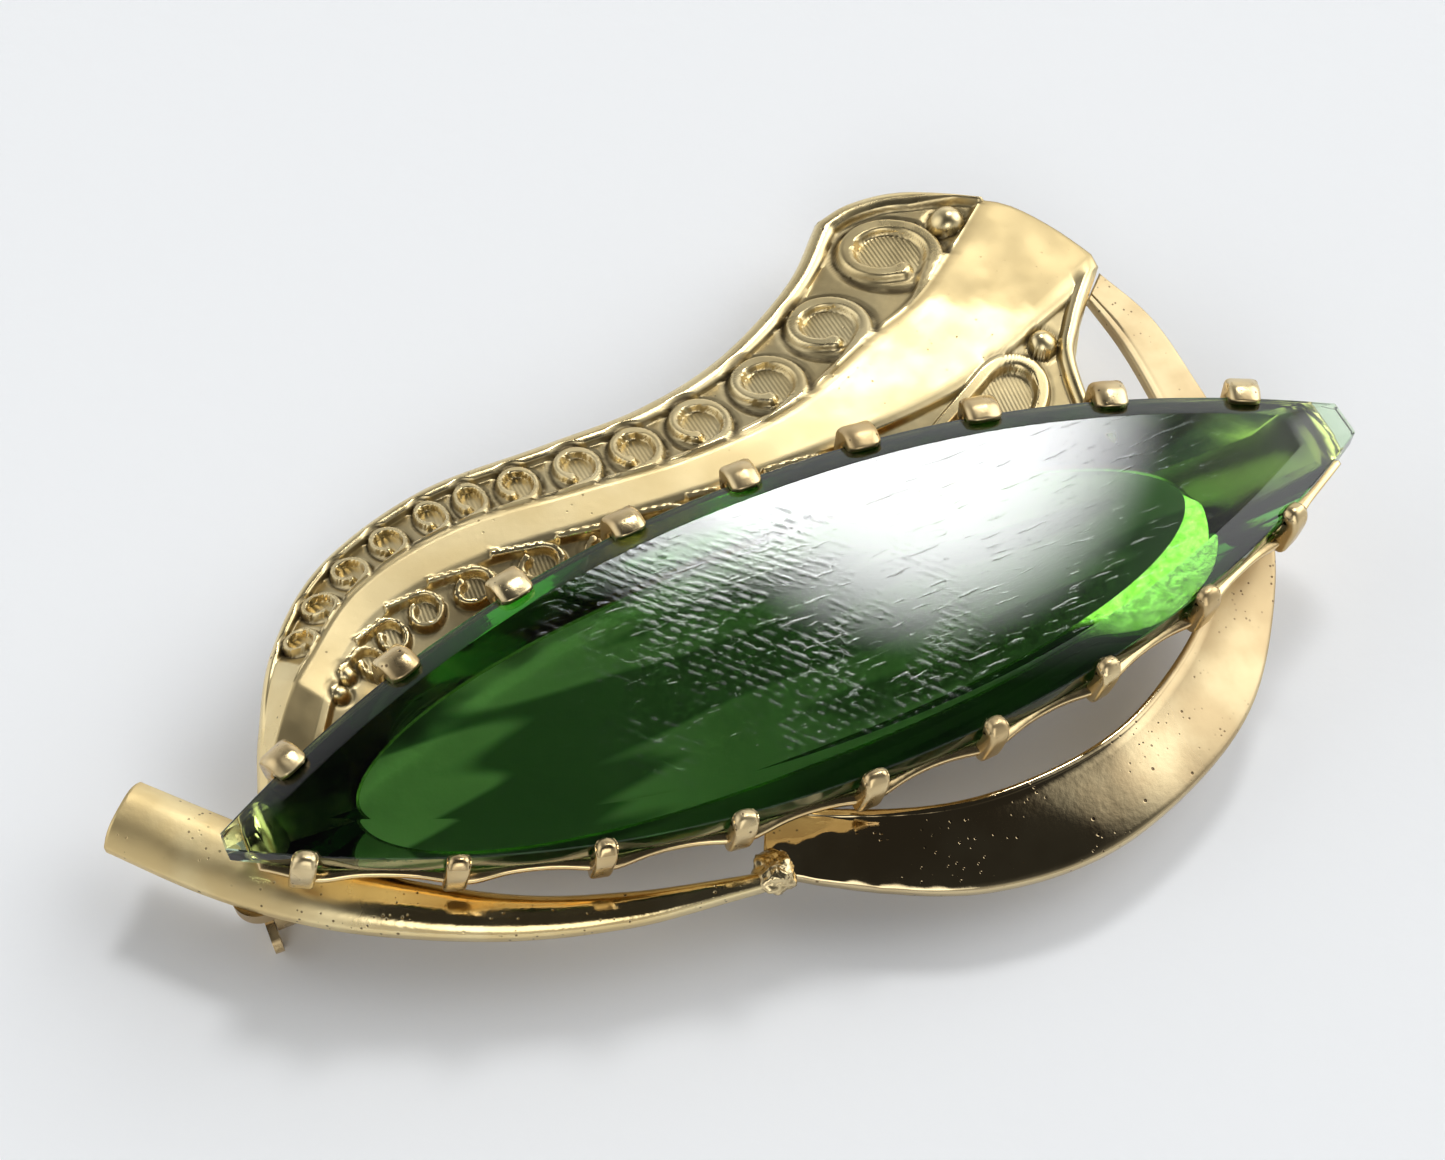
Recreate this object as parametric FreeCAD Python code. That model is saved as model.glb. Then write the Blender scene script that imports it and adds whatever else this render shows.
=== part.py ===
"""Gilt costume brooch: a long marquise glass stone held by claws in an open tray,
with a formed plume, a crescent loop and a tail ribbon soldered under it, and a
hinged pin with a rolling safety catch on the back.

Millimetres.  X runs along the stone, Y across it towards the plume, Z up out of
the face.  The pieces are placed about the stone's centre, with Z = 0 on the plane
that the back hardware rests on, and shifted at the end so that the origin is the
middle of the brooch's footprint on that plane.
"""
import FreeCAD, Part
import math
import os

V = FreeCAD.Vector

# ---- Stone ------------------------------------------------------------------
STONE_HALF_LENGTH = 29.0      # to the point where the two edge arcs would meet
STONE_HALF_WIDTH = 8.1
STONE_CURVE = 2.16            # exponent of the edge arcs
LEFT_TIP_HALF = 0.4           # the points are ground blunt
RIGHT_TIP_HALF = 0.9
GIRDLE_HEIGHT = 1.2
CROWN_HEIGHT = 0.75
CROWN_BEVEL = 1.45            # table edge inside the girdle
PAVILION_HEIGHT = 2.0
SEAT_LEDGE = 0.35             # flat ring under the girdle
CULET_INSET = 2.6             # flat back's edge inside the girdle

# ---- Setting tray and claws -------------------------------------------------
TRAY_FLOOR = 0.4              # thickness of the ring under the stone's back
TRAY_FLOOR_INSET = 3.6        # edge of the open back inside the girdle
TRAY_RIM = 0.45               # thickness of the rim flange
TRAY_RIM_OUT = 0.7            # rim flange outside the girdle
TRAY_WALL = 0.2               # how far the wall's outside stands out from its inside, per side
TRAY_TIP_CUT = 0.3            # the rim stops this far inside the stone's points
SCALLOP_RADIUS = 4.2
SCALLOP_BITE = 0.62           # depth of a scallop into the rim flange
CLAWS_PER_SIDE = 9
CLAW_WIDTH = 1.5
CLAW_DEPTH = 1.1              # radial thickness of the upright
CLAW_GAP = 0.1                # between the upright and the girdle
CLAW_REACH = 0.85             # fold over the bevel
CLAW_TIP = 0.45               # thickness of the folded tip
CLAW_DROP = 0.3               # bend hangs this far below the rim flange
FAR_INSETS = (4.4, 5.6)       # first and last claw on the plume side, inside the ends of the edge arcs
NEAR_INSETS = (3.8, 7.0)      # and on the loop side

# ---- Sheet pieces -----------------------------------------------------------
SHEET = 0.6
PLUME_RIM_LIFT = 0.2          # outer edge above the soldering plane's top
PLUME_RIDGE_OUT = 1.8         # outer crease above the same plane
PLUME_RIDGE_IN = 1.6          # inner crease above the same plane
PLUME_FULL_WIDTH = 9.0        # narrower than this, the creases are lower in proportion
PLUME_FLANGE = 1.3            # flat strip soldered under the tray
PLUME_FLANGE_MOST = 0.3       # and no more than this share of the width
LOOP_LIP = 0.7                # turned-down inner edge below the sheet
LOOP_DROP = 1.1               # how far the outer edge falls at the lowest
LOOP_RISE = 0.95              # how far the upper end climbs to meet the plume
TAIL_CROWN = 0.75             # arch height of the ribbon at its wide end
SOLDER_RADIUS = 1.0

# ---- Back hardware ----------------------------------------------------------
PIN_AXIS_Z = 1.7
BAR_BOTTOM = 3.4
BAR_THICK = 0.8
BAR_WIDTH = 4.0
BAR_RIGHT_INSET = 6.4         # bar's right end inside the end of the stone's edge arcs
STEM_RADIUS = 0.45
STEM_POINT = 4.0
STEM_NECK = 1.2               # length of the flare between the straight shank and the eye
STEM_NECK_FLARE = 0.15        # added radius where it meets the eye
STEM_PAST_CATCH = 2.0         # point beyond the middle of the catch
HINGE_INSET = 4.1             # hinge axis inside the bar's right end
HINGE_PLATE = 0.4
HINGE_PLATE_LENGTH = 5.0
EAR_THICK = 0.5
EAR_RADIUS = 1.4
EYE_RADIUS = 1.05
EYE_WIDTH = 1.4
EYE_SIDE_GAP = 0.06
RIVET_RADIUS = 0.45
RIVET_RUNNING = 0.03
RIVET_HEAD_RADIUS = 0.75
RIVET_HEAD = 0.3
CATCH_INSET = 2.4             # middle of the housing inside the bar's left end
CATCH_LENGTH = 2.0
HOUSING_RADIUS = 1.65
SLEEVE_RADIUS = 1.15
SLEEVE_BORE = 0.65
SLEEVE_RUNNING = 0.05
SLEEVE_COLLAR = 0.4
SLEEVE_END_GAP = 0.05
COLLAR_RADIUS = 1.45
MOUTH = 1.3                   # width of the slot that the stem passes
LEVER_LENGTH = 2.6
LEVER_WIDTH = 1.5
LEVER_ANGLE = 22.0            # below the horizontal, towards the loop side, when open

# ---- Places and levels that follow -------------------------------------------
BAR_LEFT = -STONE_HALF_LENGTH
BAR_RIGHT = STONE_HALF_LENGTH - BAR_RIGHT_INSET
HINGE_X = BAR_RIGHT - HINGE_INSET
CATCH_X = BAR_LEFT + CATCH_INSET
STEM_LEFT = CATCH_X - STEM_PAST_CATCH
BAR_TOP = BAR_BOTTOM + BAR_THICK
SHEET_TOP = BAR_TOP + SHEET
CULET_Z = SHEET_TOP + TRAY_FLOOR
SEAT_Z = CULET_Z + PAVILION_HEIGHT
GIRDLE_TOP = SEAT_Z + GIRDLE_HEIGHT
TABLE_Z = GIRDLE_TOP + CROWN_HEIGHT

# ---- Plan lines of the sheet pieces -----------------------------------------
# Drawn about a stone of these half sizes; place() carries them to the real one.
DRAWN_HALF_LENGTH = 29.0
DRAWN_HALF_WIDTH = 8.1
FULL_PUSH_Y = 4.4             # drawn points further out than this keep their distance from the stone's edge

# Plume: a cut across the band at each place, as its outer end, its inner end under
# the stone, and how far along the cut the two creases lie.
PLUME_CUTS = [
    ((-26.4, 3.4), (-24.8, 0.9), 0.20, 0.50),
    ((-25.5, 6.2), (-21.4, 1.2), 0.20, 0.46),
    ((-23.6, 10.2), (-18.0, 1.9), 0.25, 0.39),
    ((-20.1, 13.7), (-15.0, 2.8), 0.255, 0.385),
    ((-14.4, 15.8), (-11.4, 3.6), 0.29, 0.45),
    ((-8.0, 16.0), (-6.8, 4.3), 0.35, 0.51),
    ((-2.6, 16.2), (-1.5, 4.6), 0.40, 0.555),
    ((2.3, 17.5), (4.8, 4.5), 0.415, 0.60),
    ((7.3, 20.4), (11.6, 3.5), 0.36, 0.61),
    ((10.6, 23.7), (18.2, 1.8), 0.345, 0.56),
    ((15.9, 29.3), (27.6, 5.4), 0.335, 0.615),
]
# Wide end of the plume: over the top of the outer band, straight across the plain
# band, and in along the inner band.
PLUME_TOP_EDGE = [(10.5, 23.6), (12.6, 23.9), (15.4, 23.1), (18.8, 20.4)]
PLUME_CORNER = (22.4, 14.5)
PLUME_INNER_EDGE = [(22.4, 14.5), (19.6, 11.4), (18.3, 8.8), (17.6, 2.0)]

# Loop: inner end, outer end, and shares of the outer drop and of the upper rise.
LOOP_CUTS = [
    ((20.9, 12.9), (22.3, 14.2), 0.0, 1.00),
    ((21.3, 10.0), (23.6, 10.8), 0.1, 0.65),
    ((21.3, 6.2), (23.9, 6.6), 0.1, 0.22),
    ((20.9, 2.4), (23.8, 2.2), 0.0, 0.0),
    ((19.8, -1.6), (23.0, -2.2), 0.0, 0.0),
    ((17.4, -5.0), (20.9, -6.2), 0.7, 0.0),
    ((14.3, -7.3), (17.4, -10.1), 0.9, 0.0),
    ((10.6, -9.0), (12.7, -12.6), 1.0, 0.0),
    ((6.4, -9.6), (7.4, -13.9), 1.0, 0.0),
    ((2.2, -9.3), (1.8, -13.3), 1.0, 0.0),
    ((-2.0, -7.9), (-3.2, -11.1), 0.8, 0.0),
    ((-5.6, -6.0), (-7.0, -8.8), 0.4, 0.0),
]

# Tail ribbon: outer (lower) end and inner (upper) end of each cut.
TAIL_CUTS = [
    ((-33.4, 3.6), (-31.0, 6.1)),
    ((-30.1, 0.0), (-27.6, 2.5)),
    ((-26.5, -3.1), (-24.2, -1.0)),
    ((-22.6, -5.5), (-21.0, -3.5)),
    ((-18.0, -7.6), (-17.0, -5.9)),
    ((-13.2, -9.0), (-12.6, -7.6)),
    ((-8.6, -9.6), (-8.4, -8.7)),
    ((-6.6, -9.8), (-6.5, -9.1)),
]


# ---- Helpers ----------------------------------------------------------------
def spline(points):
    """Smooth edge through the points."""
    curve = Part.BSplineCurve()
    curve.interpolate(points)
    return curve.toShape()


def prism(wire, low, high):
    """Upright solid on a flat closed wire, from height low to height high."""
    face = Part.Face(wire)
    face.translate(V(0, 0, low - wire.BoundBox.ZMin))
    return face.extrude(V(0, 0, high - low))


def cylinder_y(radius, x, z, y_low, y_high):
    return Part.makeCylinder(radius, y_high - y_low, V(x, y_low, z), V(0, 1, 0))


def cylinder_x(radius, x_low, x_high, y, z):
    return Part.makeCylinder(radius, x_high - x_low, V(x_low, y, z), V(1, 0, 0))


def box(x_low, x_high, y_low, y_high, z_low, z_high):
    return Part.makeBox(x_high - x_low, y_high - y_low, z_high - z_low, V(x_low, y_low, z_low))


def between(a, b, share):
    return (a[0] + (b[0] - a[0]) * share, a[1] + (b[1] - a[1]) * share)


def place(point):
    """A drawn plan point moved with the stone's edge: stretched along X, pushed out along Y."""
    x, y = point
    push = max(-1.0, min(1.0, y / FULL_PUSH_Y))
    return (x * STONE_HALF_LENGTH / DRAWN_HALF_LENGTH, y + (STONE_HALF_WIDTH - DRAWN_HALF_WIDTH) * push)


# ---- Stone outline ----------------------------------------------------------
def edge_y(x):
    """Half-width of the stone's girdle at x."""
    return STONE_HALF_WIDTH * (1 - (abs(x) / STONE_HALF_LENGTH) ** STONE_CURVE)


def edge_slope(x):
    """dy/dx of the far edge at x."""
    size = STONE_CURVE * STONE_HALF_WIDTH / STONE_HALF_LENGTH
    return -math.copysign(size * (abs(x) / STONE_HALF_LENGTH) ** (STONE_CURVE - 1), x)


def offset_y(x, out):
    """Half-width at x of the outline moved out by a distance, measured square to the edge."""
    return edge_y(x) + out * math.hypot(1, edge_slope(x))


def tip_x(half, out, side):
    """Where the moved outline is as narrow as a blunt tip; side is -1 or +1."""
    low, high = 0.0, STONE_HALF_LENGTH * 1.2
    for _ in range(50):
        middle = (low + high) / 2
        if offset_y(middle, out) > half:
            low = middle
        else:
            high = middle
    return side * low


def marquise(out, z):
    """Closed wire: the girdle outline moved out by a distance, at height z."""
    left = tip_x(LEFT_TIP_HALF, out, -1)
    right = tip_x(RIGHT_TIP_HALF, out, 1)
    steps = 12
    xs = [left + (right - left) * i / steps for i in range(steps + 1)]
    far = [V(x, offset_y(x, out), z) for x in xs]
    near = [V(p.x, -p.y, z) for p in reversed(far)]
    edges = [
        spline(far),
        Part.LineSegment(far[-1], near[0]).toShape(),
        spline(near),
        Part.LineSegment(near[-1], far[0]).toShape(),
    ]
    return Part.Wire(edges)


def pavilion():
    """Tapered lower half of the stone, and the hollow that it leaves in the tray."""
    return Part.makeLoft([marquise(-CULET_INSET, CULET_Z), marquise(-SEAT_LEDGE, SEAT_Z)], True, True)


def make_stone():
    girdle = prism(marquise(0, SEAT_Z), SEAT_Z, GIRDLE_TOP)
    crown = Part.makeLoft([marquise(0, GIRDLE_TOP), marquise(-CROWN_BEVEL, TABLE_Z)], True, True)
    return girdle.fuse(crown).fuse(pavilion()).removeSplitter()


# ---- Claws ------------------------------------------------------------------
def claw_stations():
    """Name, x and side (+1 plume, -1 loop) of each claw, left to right."""
    for row, side, (first, last) in (("far", 1, FAR_INSETS), ("near", -1, NEAR_INSETS)):
        start = first - STONE_HALF_LENGTH
        pitch = (STONE_HALF_LENGTH - last - start) / (CLAWS_PER_SIDE - 1)
        for i in range(CLAWS_PER_SIDE):
            yield "claw_%s_%d" % (row, i + 1), start + i * pitch, side


def make_claw(x, side):
    """Flat strip that leaves the rim, turns up past the girdle and folds over the bevel."""
    inner = CLAW_GAP
    outer = CLAW_GAP + CLAW_DEPTH
    foot = SEAT_Z - TRAY_RIM - CLAW_DROP
    fold = CROWN_HEIGHT * CLAW_REACH / CROWN_BEVEL
    tip_low = GIRDLE_TOP + fold + 0.02
    bend = 0.65
    knee_z = GIRDLE_TOP - 0.15
    top = tip_low + CLAW_TIP

    def p(r, z):
        return V(r, 0, z)

    profile = [
        Part.LineSegment(p(-0.1, foot), p(outer - bend, foot)),
        Part.Arc(p(outer - bend, foot), p(outer - bend * 0.293, foot + bend * 0.293), p(outer, foot + bend)),
        Part.LineSegment(p(outer, foot + bend), p(outer, knee_z)),
        Part.Arc(p(outer, knee_z), p(outer - 0.4, knee_z + 0.72), p(inner, top - 0.12)),
        Part.LineSegment(p(inner, top - 0.12), p(-CLAW_REACH, top)),
        Part.LineSegment(p(-CLAW_REACH, top), p(-CLAW_REACH, tip_low)),
        Part.LineSegment(p(-CLAW_REACH, tip_low), p(inner, GIRDLE_TOP + 0.02)),
        Part.LineSegment(p(inner, GIRDLE_TOP + 0.02), p(inner, SEAT_Z)),
        Part.LineSegment(p(inner, SEAT_Z), p(-0.1, SEAT_Z)),
        Part.LineSegment(p(-0.1, SEAT_Z), p(-0.1, foot)),
    ]
    face = Part.Face(Part.Wire([piece.toShape() for piece in profile]))
    face.translate(V(0, -CLAW_WIDTH / 2, 0))
    strip = face.extrude(V(0, CLAW_WIDTH, 0))
    tip_edges = [
        e for e in strip.Edges
        if abs(e.CenterOfMass.x + CLAW_REACH) < 0.01 and abs(abs(e.CenterOfMass.y) - CLAW_WIDTH / 2) < 0.01
    ]
    strip = strip.makeFillet(CLAW_WIDTH * 0.38, tip_edges)
    normal = math.degrees(math.atan2(side, -edge_slope(x)))
    strip.rotate(V(0, 0, 0), V(0, 0, 1), normal)
    strip.translate(V(x, side * edge_y(x), 0))
    return strip


# ---- Tray -------------------------------------------------------------------
def make_tray(claws):
    """Shallow dish under the stone, open at the back, with a scalloped rim flange."""
    rim_low = SEAT_Z - TRAY_RIM
    foot = marquise(-CULET_INSET + TRAY_WALL, SHEET_TOP)
    shoulder = marquise(-SEAT_LEDGE + TRAY_WALL, rim_low)
    outside = Part.makeLoft([foot, shoulder], True, True)
    flange = prism(marquise(TRAY_RIM_OUT, rim_low), rim_low, SEAT_Z)
    back = prism(marquise(-TRAY_FLOOR_INSET, SHEET_TOP), SHEET_TOP, CULET_Z)
    left = tip_x(LEFT_TIP_HALF, 0, -1) + TRAY_TIP_CUT
    right = tip_x(RIGHT_TIP_HALF, 0, 1) - TRAY_TIP_CUT
    span = box(left, right, -STONE_HALF_LENGTH, STONE_HALF_LENGTH, SHEET_TOP, SEAT_Z)
    tray = outside.fuse(flange).common(span).cut(pavilion()).cut(back)
    stations = list(claw_stations())
    bites = []
    for (_, x1, side1), (_, x2, side2) in zip(stations, stations[1:]):
        if side1 != side2:
            continue
        x = (x1 + x2) / 2
        slope = edge_slope(x)
        length = math.hypot(1, slope)
        reach = TRAY_RIM_OUT - SCALLOP_BITE + SCALLOP_RADIUS
        centre = V(x - slope / length * reach, side1 * (edge_y(x) + reach / length), rim_low - 1)
        bites.append(Part.makeCylinder(SCALLOP_RADIUS, TRAY_RIM + 2, centre))
    return tray.cut(bites).cut(claws)


# ---- Plume ------------------------------------------------------------------
def plume_section(outer, inner, crease_out, crease_in):
    """Closed wire across the plume: sheet bent at two creases with a flat inner flange."""
    outer, inner = place(outer), place(inner)
    length = math.hypot(outer[0] - inner[0], outer[1] - inner[1])
    flange = min(PLUME_FLANGE / length, PLUME_FLANGE_MOST)
    shares = [0.0, crease_out, crease_in, 1 - flange, 1.0]
    full = min(1.0, length / PLUME_FULL_WIDTH)
    lifts = [PLUME_RIM_LIFT, PLUME_RIDGE_OUT * full, PLUME_RIDGE_IN * full, 0.0, 0.0]
    top = []
    for share, lift in zip(shares, lifts):
        x, y = between(outer, inner, share)
        top.append(V(x, y, SHEET_TOP + lift))
    under = [V(p.x, p.y, p.z - SHEET) for p in reversed(top)]
    return Part.makePolygon(top + under + [top[0]])


def make_plume():
    sheet = Part.makeLoft([plume_section(*cut) for cut in PLUME_CUTS], True, False)
    edge = [V(*place(point), 0) for point in PLUME_TOP_EDGE]
    side = [V(*place(point), 0) for point in PLUME_INNER_EDGE]
    corner = V(*place(PLUME_CORNER), 0)
    wide = 2 * STONE_HALF_LENGTH
    outside = [(side[-1].x, -wide), (-wide, -wide), (-wide, wide), (edge[0].x, wide)]
    around = [side[-1]] + [V(x, y, 0) for x, y in outside] + [edge[0]]
    edges = [spline(edge), Part.LineSegment(edge[-1], corner).toShape(), spline(side)]
    edges += [Part.LineSegment(a, b).toShape() for a, b in zip(around, around[1:])]
    return sheet.common(prism(Part.Wire(edges), 0, TABLE_Z))


# ---- Loop and tail ----------------------------------------------------------
def loop_section(inner, outer, drop, rise):
    """Closed wire across the loop: slightly crowned sheet with a turned-down inner lip."""
    inner, outer = place(inner), place(outer)
    top = SHEET_TOP + LOOP_RISE * rise
    fall = LOOP_DROP * drop
    middle = between(inner, outer, 0.5)
    length = math.hypot(outer[0] - inner[0], outer[1] - inner[1])
    lip = between(inner, outer, min(0.3, SHEET / length))
    low = top - SHEET
    crown = 0.25 * drop
    upper = [V(*inner, top), V(*middle, top - fall / 2 + crown), V(*outer, top - fall)]
    lower = [V(*outer, low - fall), V(*middle, low - fall / 2 + crown), V(*lip, low)]
    lip_z = top - SHEET - LOOP_LIP * drop - 0.001
    edges = [
        spline(upper),
        Part.LineSegment(upper[-1], lower[0]).toShape(),
        spline(lower),
        Part.LineSegment(lower[-1], V(*lip, lip_z)).toShape(),
        Part.LineSegment(V(*lip, lip_z), V(*inner, lip_z)).toShape(),
        Part.LineSegment(V(*inner, lip_z), upper[0]).toShape(),
    ]
    return Part.Wire(edges)


def make_loop():
    return Part.makeLoft([loop_section(*cut) for cut in LOOP_CUTS], True, False)


def tail_section(outer, inner):
    """Closed wire across the ribbon: an arched strip standing on its two edges."""
    outer, inner = place(outer), place(inner)
    width = math.hypot(outer[0] - inner[0], outer[1] - inner[1])
    widest = math.dist(*TAIL_CUTS[0])
    crown = TAIL_CROWN * width / widest
    shares = [0.0, 0.22, 0.5, 0.8, 1.0]
    lifts = [0.0, 0.8, 1.0, 0.5, 0.0]
    arch = [(between(outer, inner, s), BAR_TOP + crown * k) for s, k in zip(shares, lifts)]
    over = [V(*point, z + SHEET) for point, z in arch]
    under = [V(*point, z) for point, z in reversed(arch)]
    edges = [
        spline(over),
        Part.LineSegment(over[-1], under[0]).toShape(),
        spline(under),
        Part.LineSegment(under[-1], over[0]).toShape(),
    ]
    return Part.Wire(edges)


def make_tail():
    return Part.makeLoft([tail_section(*cut) for cut in TAIL_CUTS], True, False)


def make_solder():
    """Lump of solder where the ribbon's thin end meets the loop."""
    (outer_x, outer_y), (inner_x, inner_y) = (place(point) for point in TAIL_CUTS[-1])
    centre = V((outer_x + inner_x) / 2, (outer_y + inner_y) / 2 + SOLDER_RADIUS / 3, BAR_TOP + SHEET / 2)
    return Part.makeSphere(SOLDER_RADIUS, centre)


# ---- Back hardware ----------------------------------------------------------
def make_bar():
    half = BAR_WIDTH / 2
    bar = box(BAR_LEFT, BAR_RIGHT, -half, half, BAR_BOTTOM, BAR_TOP)
    corners = [e for e in bar.Edges if abs(e.Length - BAR_THICK) < 0.01]
    return bar.makeFillet(half * 0.6, corners)


def make_hinge_base():
    """Small plate with two ears that carry the rivet."""
    half, half_width = HINGE_PLATE_LENGTH / 2, BAR_WIDTH / 2
    side = EYE_WIDTH / 2 + EYE_SIDE_GAP
    low = BAR_BOTTOM - HINGE_PLATE
    plate = box(HINGE_X - half, HINGE_X + half, -half_width, half_width, low, BAR_BOTTOM)
    for y in (side, -side - EAR_THICK):
        ear = cylinder_y(EAR_RADIUS, HINGE_X, PIN_AXIS_Z, y, y + EAR_THICK)
        web = box(HINGE_X - EAR_RADIUS, HINGE_X + EAR_RADIUS, y, y + EAR_THICK, PIN_AXIS_Z, low)
        plate = plate.fuse(ear).fuse(web)
    hole = cylinder_y(RIVET_RADIUS, HINGE_X, PIN_AXIS_Z, -BAR_WIDTH, BAR_WIDTH)
    return plate.cut(hole).removeSplitter()


def make_rivet():
    half = EYE_WIDTH / 2 + EYE_SIDE_GAP + EAR_THICK
    shank = cylinder_y(RIVET_RADIUS, HINGE_X, PIN_AXIS_Z, -half, half)
    for y in (half, -half - RIVET_HEAD):
        shank = shank.fuse(cylinder_y(RIVET_HEAD_RADIUS, HINGE_X, PIN_AXIS_Z, y, y + RIVET_HEAD))
    return shank.removeSplitter()


def make_stem():
    """Pin stem: an eye on the rivet, a straight round shank and a ground point."""
    eye = cylinder_y(EYE_RADIUS, HINGE_X, PIN_AXIS_Z, -EYE_WIDTH / 2, EYE_WIDTH / 2)
    neck = HINGE_X - EYE_RADIUS - STEM_NECK
    shank = cylinder_x(STEM_RADIUS, STEM_LEFT + STEM_POINT, neck, 0, PIN_AXIS_Z)
    flare_length = STEM_NECK + EYE_RADIUS / 2
    flare = Part.makeCone(
        STEM_RADIUS, STEM_RADIUS + STEM_NECK_FLARE, flare_length, V(neck, 0, PIN_AXIS_Z), V(1, 0, 0))
    point = Part.makeCone(
        STEM_RADIUS, 0.08, STEM_POINT, V(STEM_LEFT + STEM_POINT, 0, PIN_AXIS_Z), V(-1, 0, 0))
    hole = cylinder_y(RIVET_RADIUS + RIVET_RUNNING, HINGE_X, PIN_AXIS_Z, -EYE_WIDTH, EYE_WIDTH)
    return eye.fuse(flare).fuse(shank).fuse(point).cut(hole).removeSplitter()


def make_catch_housing():
    """C-shaped housing, open downwards, on a foot under the bar."""
    low, high = CATCH_X - CATCH_LENGTH / 2, CATCH_X + CATCH_LENGTH / 2
    ring = cylinder_x(HOUSING_RADIUS, low, high, 0, PIN_AXIS_Z)
    foot = box(low, high, -HOUSING_RADIUS * 0.8, HOUSING_RADIUS * 0.8, PIN_AXIS_Z, BAR_BOTTOM)
    bore = cylinder_x(SLEEVE_RADIUS + SLEEVE_RUNNING, low - 1, high + 1, 0, PIN_AXIS_Z)
    mouth = box(low - 1, high + 1, -MOUTH / 2, MOUTH / 2, PIN_AXIS_Z - 2 * HOUSING_RADIUS, PIN_AXIS_Z)
    return ring.fuse(foot).cut(bore).cut(mouth).removeSplitter()


def make_catch_sleeve():
    """Rolling sleeve with a collar at each end and a thumb lever, drawn unlocked."""
    low, high = CATCH_X - CATCH_LENGTH / 2, CATCH_X + CATCH_LENGTH / 2
    tube = cylinder_x(SLEEVE_RADIUS, low - SLEEVE_END_GAP, high + SLEEVE_END_GAP, 0, PIN_AXIS_Z)
    for start in (low - SLEEVE_END_GAP - SLEEVE_COLLAR, high + SLEEVE_END_GAP):
        tube = tube.fuse(cylinder_x(COLLAR_RADIUS, start, start + SLEEVE_COLLAR, 0, PIN_AXIS_Z))
    end = low - SLEEVE_END_GAP
    lever = box(end - SLEEVE_COLLAR, end, -LEVER_LENGTH, 0, -LEVER_WIDTH / 2, LEVER_WIDTH / 2)
    tip_edges = [
        e for e in lever.Edges
        if abs(e.CenterOfMass.y + LEVER_LENGTH) < 0.01 and abs(e.Length - SLEEVE_COLLAR) < 0.01
    ]
    lever = lever.makeFillet(LEVER_WIDTH * 0.4, tip_edges)
    lever.rotate(V(0, 0, 0), V(1, 0, 0), LEVER_ANGLE)
    lever.translate(V(0, 0, PIN_AXIS_Z))
    bore = cylinder_x(SLEEVE_BORE, low - 2, high + 2, 0, PIN_AXIS_Z)
    slot = box(low - 2, high + 2, -MOUTH / 2, MOUTH / 2, PIN_AXIS_Z - 2 * HOUSING_RADIUS, PIN_AXIS_Z)
    return tube.fuse(lever).cut(bore).cut(slot).removeSplitter()


# ---- Assembly ---------------------------------------------------------------
def build():
    parts = {"stone": make_stone()}
    claws = {name: make_claw(x, side) for name, x, side in claw_stations()}
    parts["setting_tray"] = make_tray(list(claws.values()))
    parts.update(claws)
    parts["plume"] = make_plume()
    parts["solder_joint"] = make_solder()
    parts["tail_ribbon"] = make_tail().cut(parts["solder_joint"])
    parts["pin_bar"] = make_bar()
    under = [parts[name] for name in ("plume", "tail_ribbon", "solder_joint", "pin_bar")]
    parts["loop_band"] = make_loop().cut(under)
    parts["hinge_base"] = make_hinge_base()
    parts["hinge_rivet"] = make_rivet()
    parts["pin_stem"] = make_stem()
    parts["catch_housing"] = make_catch_housing()
    parts["catch_sleeve"] = make_catch_sleeve()
    return parts


def main():
    parts = build()
    bounds = Part.makeCompound(list(parts.values())).optimalBoundingBox(False, False)
    shift = V(-bounds.Center.x, -bounds.Center.y, -bounds.ZMin)
    os.makedirs("parts", exist_ok=True)
    for name, shape in parts.items():
        shape.translate(shift)
        shape.exportStep("parts/%s.step" % name)
        print("%-16s %d solid, %8.3f mm3" % (name, len(shape.Solids), shape.Volume))
    hinge = V(HINGE_X, 0, PIN_AXIS_Z) + shift
    catch = V(CATCH_X, 0, PIN_AXIS_Z) + shift
    print("size %.3f %.3f %.3f" % (bounds.XLength, bounds.YLength, bounds.ZLength))
    print("shift %.4f %.4f %.4f" % tuple(shift))
    print("hinge axis at %.4f %.4f %.4f" % tuple(hinge))
    print("catch axis at %.4f %.4f %.4f" % tuple(catch))


main()
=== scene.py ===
"""Looks of the gilt brooch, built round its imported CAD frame.

Lengths are millimetres on the part's drawing axes: X along the stone from the middle
of its edge arcs, Y across it towards the plume, Z up from the plane that the back
hardware rests on.  ORIGIN is where those axes start in the frame.
"""
import math

import bmesh
import bpy
import numpy as np
from mathutils import Matrix, Vector, noise


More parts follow.
